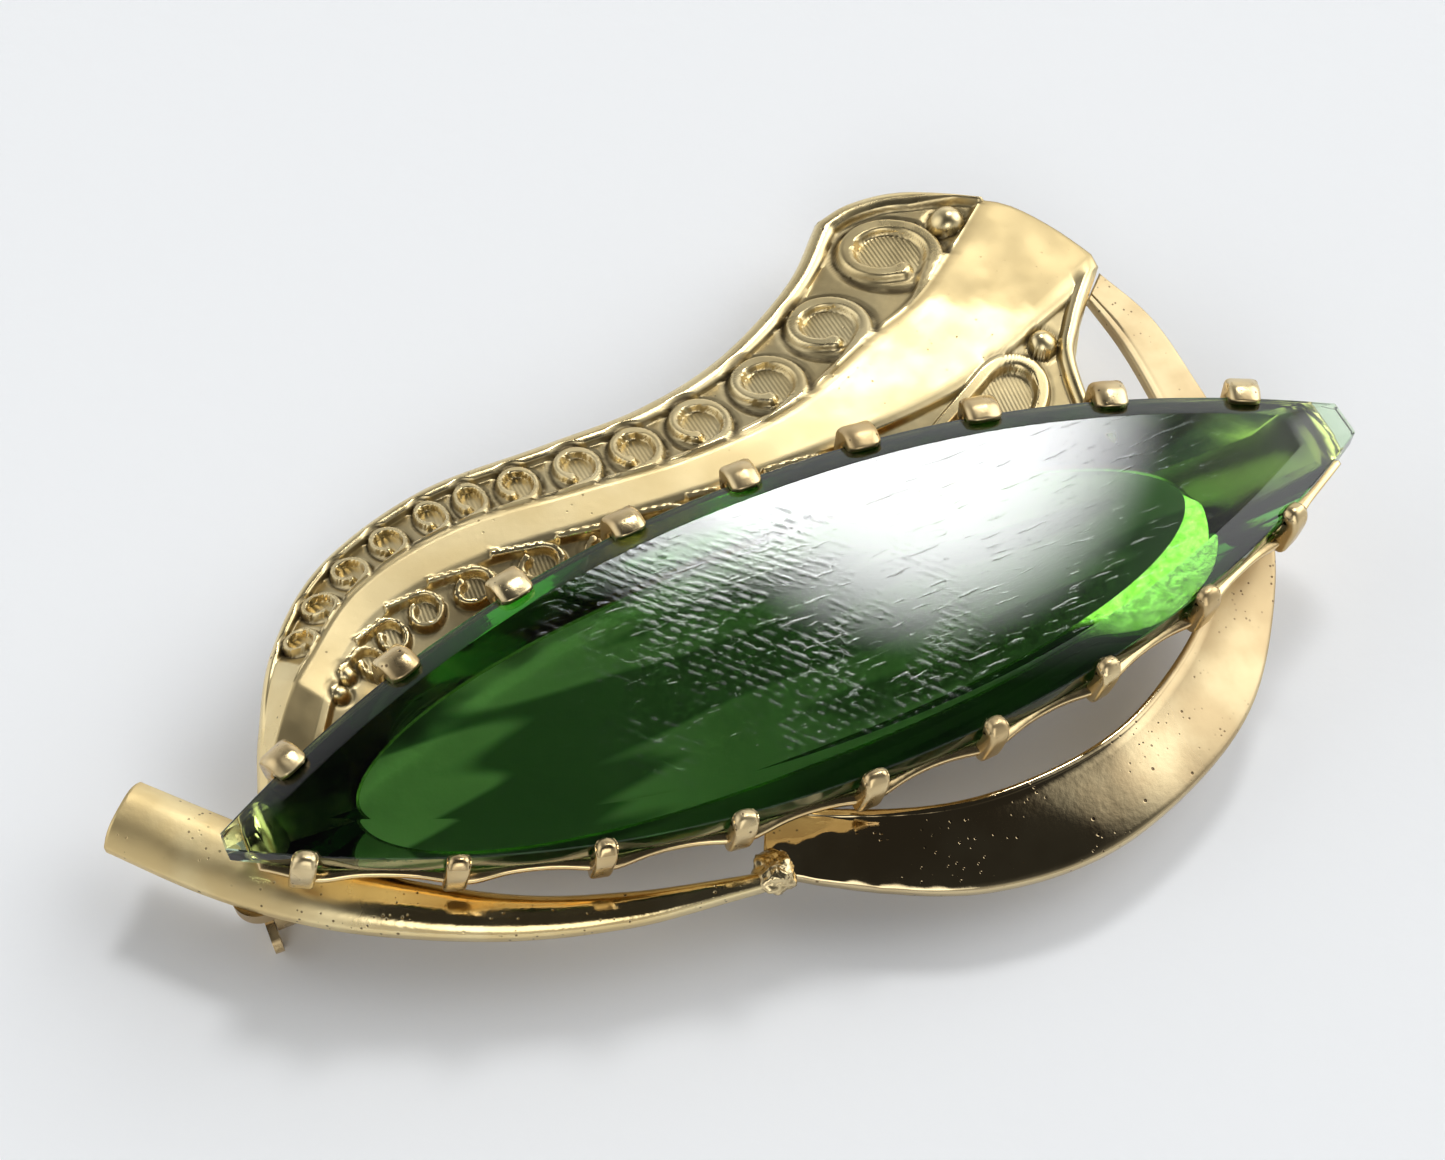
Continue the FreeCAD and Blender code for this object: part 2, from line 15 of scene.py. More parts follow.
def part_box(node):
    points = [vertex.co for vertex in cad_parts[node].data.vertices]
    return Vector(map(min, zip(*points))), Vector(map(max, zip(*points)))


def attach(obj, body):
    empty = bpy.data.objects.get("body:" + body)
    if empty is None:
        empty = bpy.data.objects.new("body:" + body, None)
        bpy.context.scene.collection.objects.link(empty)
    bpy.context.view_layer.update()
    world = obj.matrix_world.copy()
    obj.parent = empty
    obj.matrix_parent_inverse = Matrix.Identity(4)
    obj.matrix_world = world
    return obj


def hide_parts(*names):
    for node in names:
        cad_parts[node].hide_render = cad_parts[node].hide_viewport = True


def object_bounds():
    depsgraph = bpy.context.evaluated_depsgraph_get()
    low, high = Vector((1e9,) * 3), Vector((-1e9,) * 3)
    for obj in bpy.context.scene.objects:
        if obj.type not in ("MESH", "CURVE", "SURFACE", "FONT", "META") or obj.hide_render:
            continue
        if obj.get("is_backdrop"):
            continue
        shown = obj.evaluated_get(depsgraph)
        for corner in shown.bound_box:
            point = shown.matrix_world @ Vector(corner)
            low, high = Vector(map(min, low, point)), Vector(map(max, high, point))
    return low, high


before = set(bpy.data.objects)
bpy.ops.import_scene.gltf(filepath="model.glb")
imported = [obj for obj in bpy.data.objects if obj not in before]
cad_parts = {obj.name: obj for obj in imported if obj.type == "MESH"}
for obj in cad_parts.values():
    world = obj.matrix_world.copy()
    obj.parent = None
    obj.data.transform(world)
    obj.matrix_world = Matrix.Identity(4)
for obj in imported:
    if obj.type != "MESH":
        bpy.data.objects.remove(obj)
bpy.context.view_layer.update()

MM = 0.001

# ---- Levels and sizes, as in the CAD ----
STONE_HALF_LENGTH = 29.0
STONE_HALF_WIDTH = 8.1
STONE_CURVE = 2.16
LEFT_TIP_HALF = 0.4
RIGHT_TIP_HALF = 0.9
CROWN_BEVEL = 1.45
SEAT_LEDGE = 0.35
SHEET = 0.6
BAR_TOP = 4.2
SHEET_TOP = 4.8
CULET_Z = 5.2
SEAT_Z = 7.2
GIRDLE_TOP = 8.4
TABLE_Z = 9.15

bar_low, bar_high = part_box("pin_bar")
stone_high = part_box("stone")[1]
ORIGIN = Vector((
    bar_low.x + STONE_HALF_LENGTH * MM,
    (bar_low.y + bar_high.y) / 2,
    stone_high.z - TABLE_Z * MM,
))


# ---- Mesh helpers ----
def smooth_rows(rows, t):
    """Rows of numbers interpolated smoothly (Catmull-Rom) at the places t, counted in rows."""
    rows = np.asarray(rows, float)
    t = np.clip(np.asarray(t, float), 0, len(rows) - 1)
    i = np.clip(np.floor(t).astype(int), 0, len(rows) - 2)
    f = (t - i)[..., None]
    a, b = rows[i], rows[i + 1]
    before = np.where((i > 0)[..., None], rows[np.maximum(i - 1, 0)], 2 * a - b)
    after = np.where((i < len(rows) - 2)[..., None], rows[np.minimum(i + 2, len(rows) - 1)], 2 * b - a)
    slope_a, slope_b = (b - before) / 2, (after - a) / 2
    return (a + slope_a * f + (3 * (b - a) - 2 * slope_a - slope_b) * f ** 2
            + (2 * (a - b) + slope_a + slope_b) * f ** 3)


def step(value, low, high):
    """Smooth step from 0 at low to 1 at high."""
    f = np.clip((np.asarray(value, float) - low) / (high - low), 0, 1)
    return f * f * (3 - 2 * f)


def distance_to(points, line):
    """Shortest distance in plan from each point to a polyline."""
    starts, runs = line[:-1], np.diff(line, axis=0)
    square = np.maximum((runs ** 2).sum(1), 1e-12)
    nearest = np.full(len(points), 1e9)
    for start, run, size in zip(starts, runs, square):
        rel = points - start
        f = np.clip((rel @ run) / size, 0, 1)
        gap = rel - f[:, None] * run
        nearest = np.minimum(nearest, (gap ** 2).sum(1))
    return np.sqrt(nearest)


def add_piece(name, verts, faces, material, body="brooch", nodes=(), sharp=None):
    """Mesh object from drawing millimetres, riding on a body and standing for CAD nodes."""
    verts = np.asarray(verts, float) * MM + np.array(ORIGIN)
    mesh = bpy.data.meshes.new(name)
    mesh.from_pydata(verts.tolist(), [], faces)
    mesh.validate()
    mesh.polygons.foreach_set("use_smooth", [True] * len(mesh.polygons))
    if sharp is not None:
        mesh.set_sharp_from_angle(angle=math.radians(sharp))
    mesh.update()
    mesh.materials.append(material)
    piece = bpy.data.objects.new(name, mesh)
    bpy.context.scene.collection.objects.link(piece)
    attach(piece, body)
    if nodes:
        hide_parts(*nodes)
    return piece


def face_outwards(piece):
    """Turns every face of a closed mesh to the outside."""
    shape = bmesh.new()
    shape.from_mesh(piece.data)
    bmesh.ops.recalc_face_normals(shape, faces=shape.faces)
    shape.to_mesh(piece.data)
    shape.free()


def loft(rings):
    """Closed skin over rings of equally many points, with a flat face on each end."""
    rings = np.asarray(rings, float)
    rows, count = rings.shape[:2]
    faces = []
    for j in range(rows - 1):
        for k in range(count):
            n = (k + 1) % count
            faces.append((j * count + k, j * count + n, (j + 1) * count + n, (j + 1) * count + k))
    faces.append(tuple(range(count - 1, -1, -1)))
    faces.append(tuple((rows - 1) * count + k for k in range(count)))
    return rings.reshape(-1, 3), faces


def rounded(corners, steps=4):
    """Outline of (across, up, radius) corners with each corner rounded by its radius."""
    out = []
    count = len(corners)
    for i, (x, y, radius) in enumerate(corners):
        if radius <= 0:
            out.append((x, y))
            continue
        here = np.array((x, y))
        before = np.array(corners[i - 1][:2]) - here
        after = np.array(corners[(i + 1) % count][:2]) - here
        a = here + before / np.linalg.norm(before) * min(radius, np.linalg.norm(before) * 0.49)
        b = here + after / np.linalg.norm(after) * min(radius, np.linalg.norm(after) * 0.49)
        for s in np.linspace(0, 1, steps):
            out.append(tuple((1 - s) ** 2 * a + 2 * s * (1 - s) * here + s * s * b))
    return out


def even_places(rows, count):
    """Places, counted in rows, that lie evenly along the line of the rows' first points."""
    t = np.linspace(0, len(rows) - 1, 40 * len(rows))
    line = smooth_rows(rows, t)
    run = np.concatenate([[0], np.cumsum(np.linalg.norm(np.diff(line, axis=0), axis=1))])
    return np.interp(np.linspace(0, run[-1], count), run, t)


# ---- Material helpers ----
class Shader:
    """A material under construction: its node tree and its Principled shader."""

    def __init__(self, name):
        self.material = bpy.data.materials.new(name)
        self.material.use_nodes = True
        self.tree = self.material.node_tree
        self.main = next(n for n in self.tree.nodes if n.type == "BSDF_PRINCIPLED")
        self.place = self.node("ShaderNodeTexCoord").outputs["Object"]

    def node(self, kind, settings=None, **inputs):
        made = self.tree.nodes.new(kind)
        for key, value in (settings or {}).items():
            setattr(made, key, value)
        for key, value in inputs.items():
            self.feed(made.inputs[key.replace("_", " ")], value)
        return made

    def feed(self, socket, value):
        if isinstance(value, bpy.types.NodeSocket):
            self.tree.links.new(value, socket)
        else:
            socket.default_value = value

    def noise(self, size, detail=3.0, stretch=None):
        """Noise with features of about the given size in millimetres."""
        place = self.place
        if stretch:
            place = self.node("ShaderNodeMapping", Vector=place, Scale=stretch).outputs["Vector"]
        made = self.node("ShaderNodeTexNoise", Vector=place, Scale=1 / (size * MM), Detail=detail)
        return made.outputs["Fac"]

    def attribute(self, name):
        return self.node("ShaderNodeAttribute", {"attribute_name": name}).outputs["Fac"]

    def ramp(self, value, low, high, to_low=0.0, to_high=1.0):
        made = self.node("ShaderNodeMapRange", {"interpolation_type": "SMOOTHSTEP"}, Value=value)
        for key, number in (("From Min", low), ("From Max", high), ("To Min", to_low), ("To Max", to_high)):
            made.inputs[key].default_value = number
        return made.outputs["Result"]

    def mix(self, share, first, second):
        made = self.node("ShaderNodeMix", {"data_type": "RGBA"})
        self.feed(made.inputs[0], share)
        self.feed(made.inputs[6], first)
        self.feed(made.inputs[7], second)
        return made.outputs[2]

    def math(self, kind, a, b):
        made = self.node("ShaderNodeMath", {"operation": kind})
        self.feed(made.inputs[0], a)
        self.feed(made.inputs[1], b)
        return made.outputs[0]

    def bump(self, height, depth, strength=1.0, normal=None):
        made = self.node("ShaderNodeBump", Height=height, Distance=depth * MM, Strength=strength)
        if normal is not None:
            self.feed(made.inputs["Normal"], normal)
        return made.outputs["Normal"]

    def specks(self, size, share, spread):
        """Scattered dark specks: cells of the given size, a share of them marked."""
        cells = self.node("ShaderNodeTexVoronoi", Vector=self.place, Scale=1 / (size * MM))
        dot = self.ramp(cells.outputs["Distance"], spread, spread * 1.8, 1.0, 0.0)
        pick = self.node("ShaderNodeSeparateColor", Color=cells.outputs["Color"]).outputs[0]
        return self.math("MULTIPLY", dot, self.ramp(pick, 1 - share, 1 - share + 0.02))


def rgb(red, green, blue):
    return (red, green, blue, 1.0)


def gold(name, pale, deep, rough, cloud=1.0, speck=0.12, grain=0.004, aged_and_shaded=False, wave=0.02, matt=None):
    """Worn gilt: two tones in clouds, specks of lost plating, fine dents, soft rub marks.

    matt gives two places along X, in drawing millimetres, and the roughness added from
    the first to the second.
    """
    s = Shader(name)
    clouds = s.noise(4.0, 4)
    fine = s.noise(0.35, 5)
    tone = s.ramp(clouds, 0.38, 0.62)
    colour = s.mix(tone, pale, deep)
    fine_dirt = s.math("MULTIPLY", s.specks(0.34, speck, 0.12), s.ramp(s.noise(3.0, 3), 0.45, 0.60))
    dirt = s.math("MAXIMUM", s.specks(0.9, speck * 0.5, 0.06), fine_dirt)
    colour = s.mix(s.math("MULTIPLY", dirt, 0.85), colour, rgb(0.10, 0.06, 0.03))
    roughness = s.ramp(s.noise(2.2, 5), 0.3, 0.7, rough * (1 - 0.35 * cloud), rough * (1 + 0.45 * cloud))
    height = s.math("ADD", fine, s.math("MULTIPLY", dirt, -2.0))
    if matt:
        along = s.node("ShaderNodeSeparateXYZ", Vector=s.place).outputs["X"]
        start, stop = (ORIGIN.x + place * MM for place in matt[:2])
        roughness = s.math("ADD", roughness, s.ramp(along, start, stop, 0.0, matt[2]))
    # With aged_and_shaded the shade layer darkens the hollows: patina together with painted shade. The floor
    # layer adds hatching, the plain layer a darker tone.
    if aged_and_shaded:
        shade, floor, plain = (s.attribute(layer) for layer in ("shade", "floor", "plain"))
        lines = s.node("ShaderNodeTexWave", {"bands_direction": "X"}, Vector=s.place, Scale=1570.0)
        marks = s.math("MULTIPLY", lines.outputs["Fac"], floor)
        # Painted shade with patina: the shade layer mixes the colour towards dark brown.
        patch = s.math("MULTIPLY", shade, s.ramp(s.noise(0.8, 4), 0.3, 0.6, 0.75, 1.0))
        colour = s.mix(patch, colour, rgb(0.060, 0.043, 0.022))
        colour = s.mix(s.math("MULTIPLY", plain, 0.5), colour, rgb(0.44, 0.34, 0.17))
        roughness = s.math("ADD", roughness, s.math("MULTIPLY", shade, 0.22))
        roughness = s.math("ADD", roughness, s.math("MULTIPLY", plain, 0.12))
        height = s.math("ADD", height, s.math("MULTIPLY", marks, 1.6))
    s.feed(s.main.inputs["Base Color"], colour)
    s.feed(s.main.inputs["Metallic"], 1.0)
    s.feed(s.main.inputs["Roughness"], roughness)
    wavy = s.bump(s.noise(1.6, 2), wave)
    s.feed(s.main.inputs["Normal"], s.bump(height, grain, 1.0, wavy))
    return s.material


def steel_wire():
    s = Shader("pin_steel")
    streak = s.noise(0.3, 4, stretch=(0.05, 1, 1))
    s.feed(s.main.inputs["Base Color"], s.mix(streak, rgb(0.50, 0.47, 0.42), rgb(0.66, 0.62, 0.55)))
    s.feed(s.main.inputs["Metallic"], 1.0)
    s.feed(s.main.inputs["Roughness"], s.ramp(streak, 0.3, 0.7, 0.18, 0.34))
    s.feed(s.main.inputs["Normal"], s.bump(streak, 0.004))
    return s.material


def green_glass():
    """Bottle-green glass with rubbed and finger-marked polish."""
    s = Shader("bottle_green_glass")
    smear = s.ramp(s.noise(5.0, 4), 0.40, 0.56)
    ridges = s.node("ShaderNodeTexWave", {"bands_direction": "DIAGONAL"}, Vector=s.place, Scale=1000.0,
                    Distortion=10.0, Detail=2.0)
    ridges.inputs["Detail Scale"].default_value = 0.10
    along = s.node("ShaderNodeSeparateXYZ", Vector=s.place).outputs["X"]
    pressed = s.math("MULTIPLY", s.ramp(along, ORIGIN.x - 16 * MM, ORIGIN.x - 9 * MM),
                     s.ramp(along, ORIGIN.x + 2 * MM, ORIGIN.x + 7 * MM, 1.0, 0.0))
    broken = s.math("MULTIPLY", ridges.outputs["Fac"], s.ramp(s.noise(0.5, 4), 0.40, 0.60))
    print_marks = s.math("MULTIPLY", s.math("MULTIPLY", smear, pressed), broken)
    s.feed(s.main.inputs["Base Color"], rgb(0.90, 0.98, 0.91))
    s.feed(s.main.inputs["Transmission Weight"], 1.0)
    s.feed(s.main.inputs["IOR"], 1.54)
    scratch = s.ramp(s.noise(0.22, 6, stretch=(0.15, 1, 1)), 0.60, 0.72)
    marks = s.math("ADD", print_marks, s.math("MULTIPLY", scratch, 0.6))
    s.feed(s.main.inputs["Roughness"], s.math("ADD", s.math("MULTIPLY", marks, 0.14), 0.012))
    s.feed(s.main.inputs["Normal"], s.bump(marks, 0.0016))
    body = s.node("ShaderNodeVolumeAbsorption")
    body.inputs["Color"].default_value = rgb(0.34, 0.65, 0.22)
    body.inputs["Density"].default_value = 385.0
    out = next(n for n in s.tree.nodes if n.type == "OUTPUT_MATERIAL")
    s.tree.links.new(body.outputs["Volume"], out.inputs["Volume"])
    return s.material


def foil():
    """Dull green-grey lacquer on the flat back of the stone."""
    s = Shader("foil_back")
    # Painted light: lighter streaks, strongest at the left end and fading towards the middle, light up that
    # end of the stone's inside.
    streak = s.ramp(s.noise(2.2, 1, stretch=(0.14, 1, 1)), 0.44, 0.52)
    along = s.node("ShaderNodeSeparateXYZ", Vector=s.place).outputs["X"]
    painted_light_left = s.ramp(along, ORIGIN.x - 17 * MM, ORIGIN.x - 3 * MM, 1.0, 0.35)
    streak = s.math("MULTIPLY", streak, painted_light_left)
    s.feed(s.main.inputs["Base Color"], s.mix(streak, rgb(0.11, 0.12, 0.09), rgb(0.48, 0.46, 0.38)))
    s.feed(s.main.inputs["Metallic"], 0.6)
    s.feed(s.main.inputs["Roughness"], 0.42)
    s.feed(s.main.inputs["Normal"], s.bump(s.noise(1.0, 4), 0.03))
    return s.material


def painted_glint_arris():
    """Lime metal edge round the lacquered back, chipped: a painted glint that shows through the glass."""
    s = Shader("painted_glint_arris")
    chips = s.ramp(s.noise(0.6, 3), 0.4, 0.6)
    # Painted glint: lime to pale yellow metal, bright where the stone's inside glints.
    s.feed(s.main.inputs["Base Color"], s.mix(chips, rgb(0.75, 0.85, 0.30), rgb(1.0, 1.0, 0.55)))
    s.feed(s.main.inputs["Metallic"], 1.0)
    s.feed(s.main.inputs["Roughness"], 0.24)
    s.feed(s.main.inputs["Normal"], s.bump(s.noise(0.5, 4), 0.012))
    return s.material


# ---- Stone and tray outline ----
def edge_y(x):
    return STONE_HALF_WIDTH * (1 - (np.abs(x) / STONE_HALF_LENGTH) ** STONE_CURVE)


def edge_slope(x):
    size = STONE_CURVE * STONE_HALF_WIDTH / STONE_HALF_LENGTH
    return -np.sign(x) * size * (np.abs(x) / STONE_HALF_LENGTH) ** (STONE_CURVE - 1)


def tip_x(half, out, side):
    """Where the outline moved out by a distance is as narrow as a blunt tip."""
    x = np.linspace(0, STONE_HALF_LENGTH * 1.2, 6000)
    wide = edge_y(x) + out * np.hypot(1, edge_slope(x))
    return side * x[wide > half].max()


def marquise(out, z, count=110, tips=(LEFT_TIP_HALF, RIGHT_TIP_HALF)):
    """Closed ring round the stone: the girdle outline moved out by a distance, at height z."""
    left, right = tip_x(tips[0], out, -1), tip_x(tips[1], out, 1)
    share = (1 - np.cos(np.linspace(0, math.pi, count))) / 2
    x = left + (right - left) * (0.5 * share + 0.5 * np.linspace(0, 1, count))
    extra = out(x) if callable(out) else out
    y = edge_y(x) + extra * np.hypot(1, edge_slope(x))
    far = np.stack([x, y, np.full(count, z)], 1)
    near = far[::-1] * (1, -1, 1)
    return np.concatenate([far, near])


ARRIS = 0.05            # softening of the stone's edges
FOIL, GLINT = 1, 2      # the stone's material slots after the glass


def make_stone():
    """Marquise with a flat table, bevelled crown, plain girdle, ledge and a flat back."""
    rings = [
        culet_ring(CULET_Z, 0.0),
        culet_ring(CULET_Z + CULET_EDGE_RISE, CULET_EDGE),
        marquise(-SEAT_LEDGE, SEAT_Z),
        marquise(-ARRIS, SEAT_Z),
        marquise(0, SEAT_Z + ARRIS),
        marquise(0, GIRDLE_TOP - ARRIS),
        marquise(-ARRIS, GIRDLE_TOP + ARRIS / 3),
        marquise(-CROWN_BEVEL + ARRIS, TABLE_Z - ARRIS / 2),
        marquise(-CROWN_BEVEL - ARRIS, TABLE_Z),
    ]
    verts, faces = loft(rings)
    glass = green_glass()
    piece = add_piece("green_stone", verts, faces, glass, nodes=("stone",), sharp=14)
    face_outwards(piece)
    piece.data.materials.append(foil())
    piece.data.materials.append(painted_glint_arris())
    lowest = min(v.co.z for v in piece.data.vertices)
    for face in piece.data.polygons:
        above = (face.center.z - lowest) / MM
        if above < CULET_EDGE_RISE / 6:
            face.material_index = FOIL
        elif above < CULET_EDGE_RISE * 5 / 3:
            face.material_index = GLINT


CULET_MIDDLE = -1.8
CULET_HALF_LENGTH = 20.6
CULET_HALF_WIDTH = 5.3
CULET_POWER = 2.3       # roundness of the flat back's ends
CULET_EDGE = 0.14       # width and rise of the worn arris round the flat back
CULET_EDGE_RISE = 0.06
# Where along X the arris widens on the loop side to carry the painted glint, over what half length, and by
# how much.
GLINT_PLACE, GLINT_SPAN, GLINT_WIDTH = 15.6, 3.8, 1.6


def culet_ring(z, arris):
    """Edge of the flat back, or of the arris outside it: an oval, point for point with marquise()."""
    half = len(marquise(-SEAT_LEDGE, z)) // 2
    turn = np.linspace(math.pi, 0, half)
    reach = np.sign(np.cos(turn)) * np.abs(np.cos(turn)) ** (2 / CULET_POWER)
    x = CULET_MIDDLE + (CULET_HALF_LENGTH + arris) * reach
    y = np.maximum((CULET_HALF_WIDTH + arris) * np.abs(np.sin(turn)) ** 1.1, 0.02)
    far = np.stack([x, y, np.full(half, z)], 1)
    near = far[::-1] * (1, -1, 1)
    if arris:
        wider = GLINT_WIDTH * np.exp(-((near[:, 0] - GLINT_PLACE) / GLINT_SPAN) ** 4)
        near[:, 0] += 0.45 * wider
        near[:, 1] -= 0.9 * wider
    return np.concatenate([far, near])


# ---- Claws ----
CLAW_WIDTH = 1.5
CLAW_GAP = 0.1
CLAW_DEPTH = 1.1
CLAW_REACH = 0.85
CLAW_FOOT = SEAT_Z - 0.45 - 0.3
CLAW_TOP = 9.30
# The plume side's claws are broad and reach well over the bevel.  The loop side's lean,
# are rounder, and stop just over the girdle's edge.  Depth and width are shares of the
# sizes above, lower is the top's depth under CLAW_TOP, nose the end's drop and rounding.
FAR_CLAW = {"depth": 1.0, "width": 1.06, "reach": CLAW_REACH, "lower": 0.0, "nose": (0.10, 0.14),
            "side_round": 0.14, "taper": 0.22, "lean": 0.0, "lean_change": 0.10}
NEAR_CLAW = {"depth": 0.75, "width": 0.70, "reach": 0.14, "lower": 0.40, "nose": (0.16, 0.3),
             "side_round": 0.24, "taper": 0.6, "lean": 0.42, "lean_change": 0.08}


def claw_mesh(seed, form):
    """Strip folded over the bevel, as (out from the girdle, along it, up) points and faces."""
    outer = CLAW_GAP + CLAW_DEPTH * form["depth"]
    reach = form["reach"] + 0.07 * math.sin(seed * 2.3)
    top = CLAW_TOP - form["lower"]
    nose = top - form["nose"][0]
    corners = [
        (-0.05, CLAW_FOOT, 0.05), (outer - 0.12, CLAW_FOOT, 0.5), (outer, GIRDLE_TOP - 0.1, 0.5),
        (outer - 0.45, GIRDLE_TOP + 0.55, 0.5), (0.1, top, 0.35),
        (-reach, nose, form["nose"][1]), (-reach + 0.04, nose - 0.36, 0.08),
        (CLAW_GAP, GIRDLE_TOP + 0.06, 0.05), (CLAW_GAP, SEAT_Z, 0.05), (-0.05, SEAT_Z, 0.02),
    ]
    profile = np.array(rounded(corners, 5))
    middle = profile.mean(0)
    half = CLAW_WIDTH / 2 * (form["width"] + 0.06 * math.sin(seed * 1.7))
    slices = half * np.sin(np.linspace(-math.pi / 2, math.pi / 2, 19))
    lean = form["lean"] + form["lean_change"] * math.sin(seed * 3.1)
    rings = []
    for w in slices:
        share = abs(w) / half
        past = max(0.0, (share - 0.6) / 0.4)
        inset = form["side_round"] * (1 - math.sqrt(max(0.0, 1 - past ** 2)))
        ring = profile.copy()
        towards = middle - ring
        towards /= np.maximum(np.linalg.norm(towards, axis=1), 0.05)[:, None]
        ring += towards * inset
        tip = ring[:, 0] < 0.2
        ring[tip, 0] = 0.2 + (ring[tip, 0] - 0.2) * (1 - form["taper"] * share ** 3.2)
        ring[:, 1] -= 0.16 * share ** 2.5 * (ring[:, 1] > GIRDLE_TOP + 0.3)
        ring[:, 1] += 0.03 * noise.noise(Vector((w * 2.5, seed * 1.3, 0)))
        rings.append([(r, w - lean * (z - GIRDLE_TOP) * 0.5, z) for r, z in ring])
    return loft(rings)


def make_claws(material):
    for name in sorted(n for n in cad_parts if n.startswith("claw_")):
        low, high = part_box(name)
        far = "far" in name
        side = 1 if far else -1
        centre = ((low + high) / 2 - ORIGIN) / MM
        x = centre.x
        normal = np.array((-float(edge_slope(x)), side))
        normal /= np.linalg.norm(normal)
        foot = np.array((x, side * float(edge_y(x))))
        foot[0] -= normal[0] * (CLAW_GAP + CLAW_DEPTH - CLAW_REACH) / 2
        foot[1] = side * float(edge_y(foot[0]))
        along = np.array((normal[1], -normal[0]))
        seed = int(name[-1]) + (20 if far else 0)
        verts, faces = claw_mesh(seed, FAR_CLAW if far else NEAR_CLAW)
        plan = foot + verts[:, :1] * normal + verts[:, 1:2] * along
        verts = np.concatenate([plan, verts[:, 2:]], 1)
        piece = add_piece("gilt_" + name, verts, faces, material, nodes=(name,))
        face_outwards(piece)


# ---- Tray ----
TRAY_TIPS = (1.2, 1.6)          # half widths of the tray's blunt ends
TRAY_OPENING = 3.6              # edge of the open back inside the girdle
TRAY_RIM_LOW = SEAT_Z - 0.45
TRAY_UNDER_STONE = 0.02         # clearance under the stone's ledge
TRAY_FLOOR_Z = CULET_Z - 0.03
TRAY_COLUMNS = 180
TRAY_SWELL, TRAY_SWELL_SPAN = 0.42, 1.5
# Once round the tray's wall: out from the girdle, height, and whether it swells at the claws.
TRAY_SECTION = [
    (-SEAT_LEDGE, SEAT_Z - TRAY_UNDER_STONE, False),
    (0.14, SEAT_Z - TRAY_UNDER_STONE, True),
    (0.20, SEAT_Z - 0.12, True),
    (0.18, TRAY_RIM_LOW + 0.1, True),
    (0.08, TRAY_RIM_LOW, True),
    (-0.2, TRAY_RIM_LOW - 0.2, False),
    (-0.75, SHEET_TOP + 0.1, False),
    (-0.85, SHEET_TOP, False),
    (-TRAY_OPENING, SHEET_TOP, False),
    (-TRAY_OPENING, TRAY_FLOOR_Z, False),
    (-1.15, TRAY_FLOOR_Z, False),
]


def make_tray(material):
    """Dish under the stone, open at the back, whose rim swells out to meet each claw."""
    claws = [(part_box(n)[0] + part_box(n)[1]) / 2 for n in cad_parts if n.startswith("claw_")]
    feet = np.array([(c - ORIGIN) / MM for c in claws])[:, :2]
    rings = []
    for out, z, swells in TRAY_SECTION:
        ring = marquise(out, z, TRAY_COLUMNS, TRAY_TIPS)
        if swells:
            gap = np.linalg.norm(ring[:, None, :2] - feet[None], axis=2).min(1)
            ring[:, 1] += np.sign(ring[:, 1]) * TRAY_SWELL * np.exp(-(gap / TRAY_SWELL_SPAN) ** 2)
        rings.append(ring)
    verts, faces = loft(rings + rings[:1])
    verts = verts[:-len(rings[0])]
    faces = [tuple(i % len(verts) for i in face) for face in faces[:-2]]
    piece = add_piece("scalloped_tray", verts, faces, material, nodes=("setting_tray",))
    face_outwards(piece)


# ---- Plume ----
# Cuts across the band as in the CAD: outer x, y, inner x, y, and the shares of the creases.
PLUME_CUTS = [
    (-26.4, 3.4, -24.8, 0.9, 0.20, 0.50),
    (-25.5, 6.2, -21.4, 1.2, 0.20, 0.46),
    (-23.6, 10.2, -18.0, 1.9, 0.25, 0.39),
    (-20.1, 13.7, -15.0, 2.8, 0.255, 0.385),
    (-14.4, 15.8, -11.4, 3.6, 0.29, 0.45),
    (-8.0, 16.0, -6.8, 4.3, 0.35, 0.51),
    (-2.6, 16.2, -1.5, 4.6, 0.40, 0.555),
    (2.3, 17.5, 4.8, 4.5, 0.415, 0.60),
    (7.3, 20.4, 11.6, 3.5, 0.36, 0.61),
    (10.6, 23.7, 18.2, 1.8, 0.345, 0.56),
    (15.9, 29.3, 27.6, 5.4, 0.335, 0.615),
]
# Edges of the wide end: its top, its end, and its inner side, which runs on under the stone.
PLUME_TOP_EDGE = [(10.5, 23.6), (12.6, 23.9), (15.4, 23.1), (18.8, 20.4)]
PLUME_END_EDGE = [(18.8, 20.4), (20.0, 19.3), (21.3, 17.2), (22.3, 14.9), (22.4, 14.5)]
PLUME_INNER_EDGE = [(22.4, 14.5), (19.6, 11.4), (18.3, 8.8), (17.5, 0.8)]
RIM_LIFT, RIDGE_OUT, RIDGE_IN = 0.2, 1.8, 1.6
FULL_WIDTH = 9.0        # narrower than this, the creases are lower in proportion
FLANGE, FLANGE_MOST = 1.3, 0.3
EDGE_ROLL = 0.26        # rounding of the sheet's upper edge
# Columns of the sheet across its outer, plain and inner bands and its flange.
PLUME_COLUMNS = (54, 10, 84, 2)
PLUME_ROWS = 560
UNDER_STEP = 10         # the plain back keeps one column in this many

# The outer chain of scrolls: stations counted in cuts, and half lengths along the band.
OUTER_SCROLLS = [
    (9.12, 2.35), (7.93, 2.05), (7.13, 1.85), (6.36, 1.60), (5.70, 1.40), (5.14, 1.28), (4.63, 1.12),
    (4.25, 0.88), (3.91, 0.85), (3.50, 0.92), (3.08, 0.90), (2.62, 0.82), (2.18, 0.74),
]
INNER_SCROLLS = [(2.42, 0.75), (2.82, 0.85), (3.27, 1.0), (3.78, 1.2), (4.40, 1.35), (5.0, 1.4), (5.6, 1.4),
                 (6.2, 1.4), (6.9, 1.5)]
BIG_SCROLL = ((14.2, 8.9), 2.7, 2.0)
BIG_SCROLL_WAY = (0.83, 0.56)
BEADS = [((16.3, 20.1), 0.92), ((17.3, 11.1), 0.74), ((-21.4, 6.1), 0.42), ((-20.8, 6.9), 0.42)]

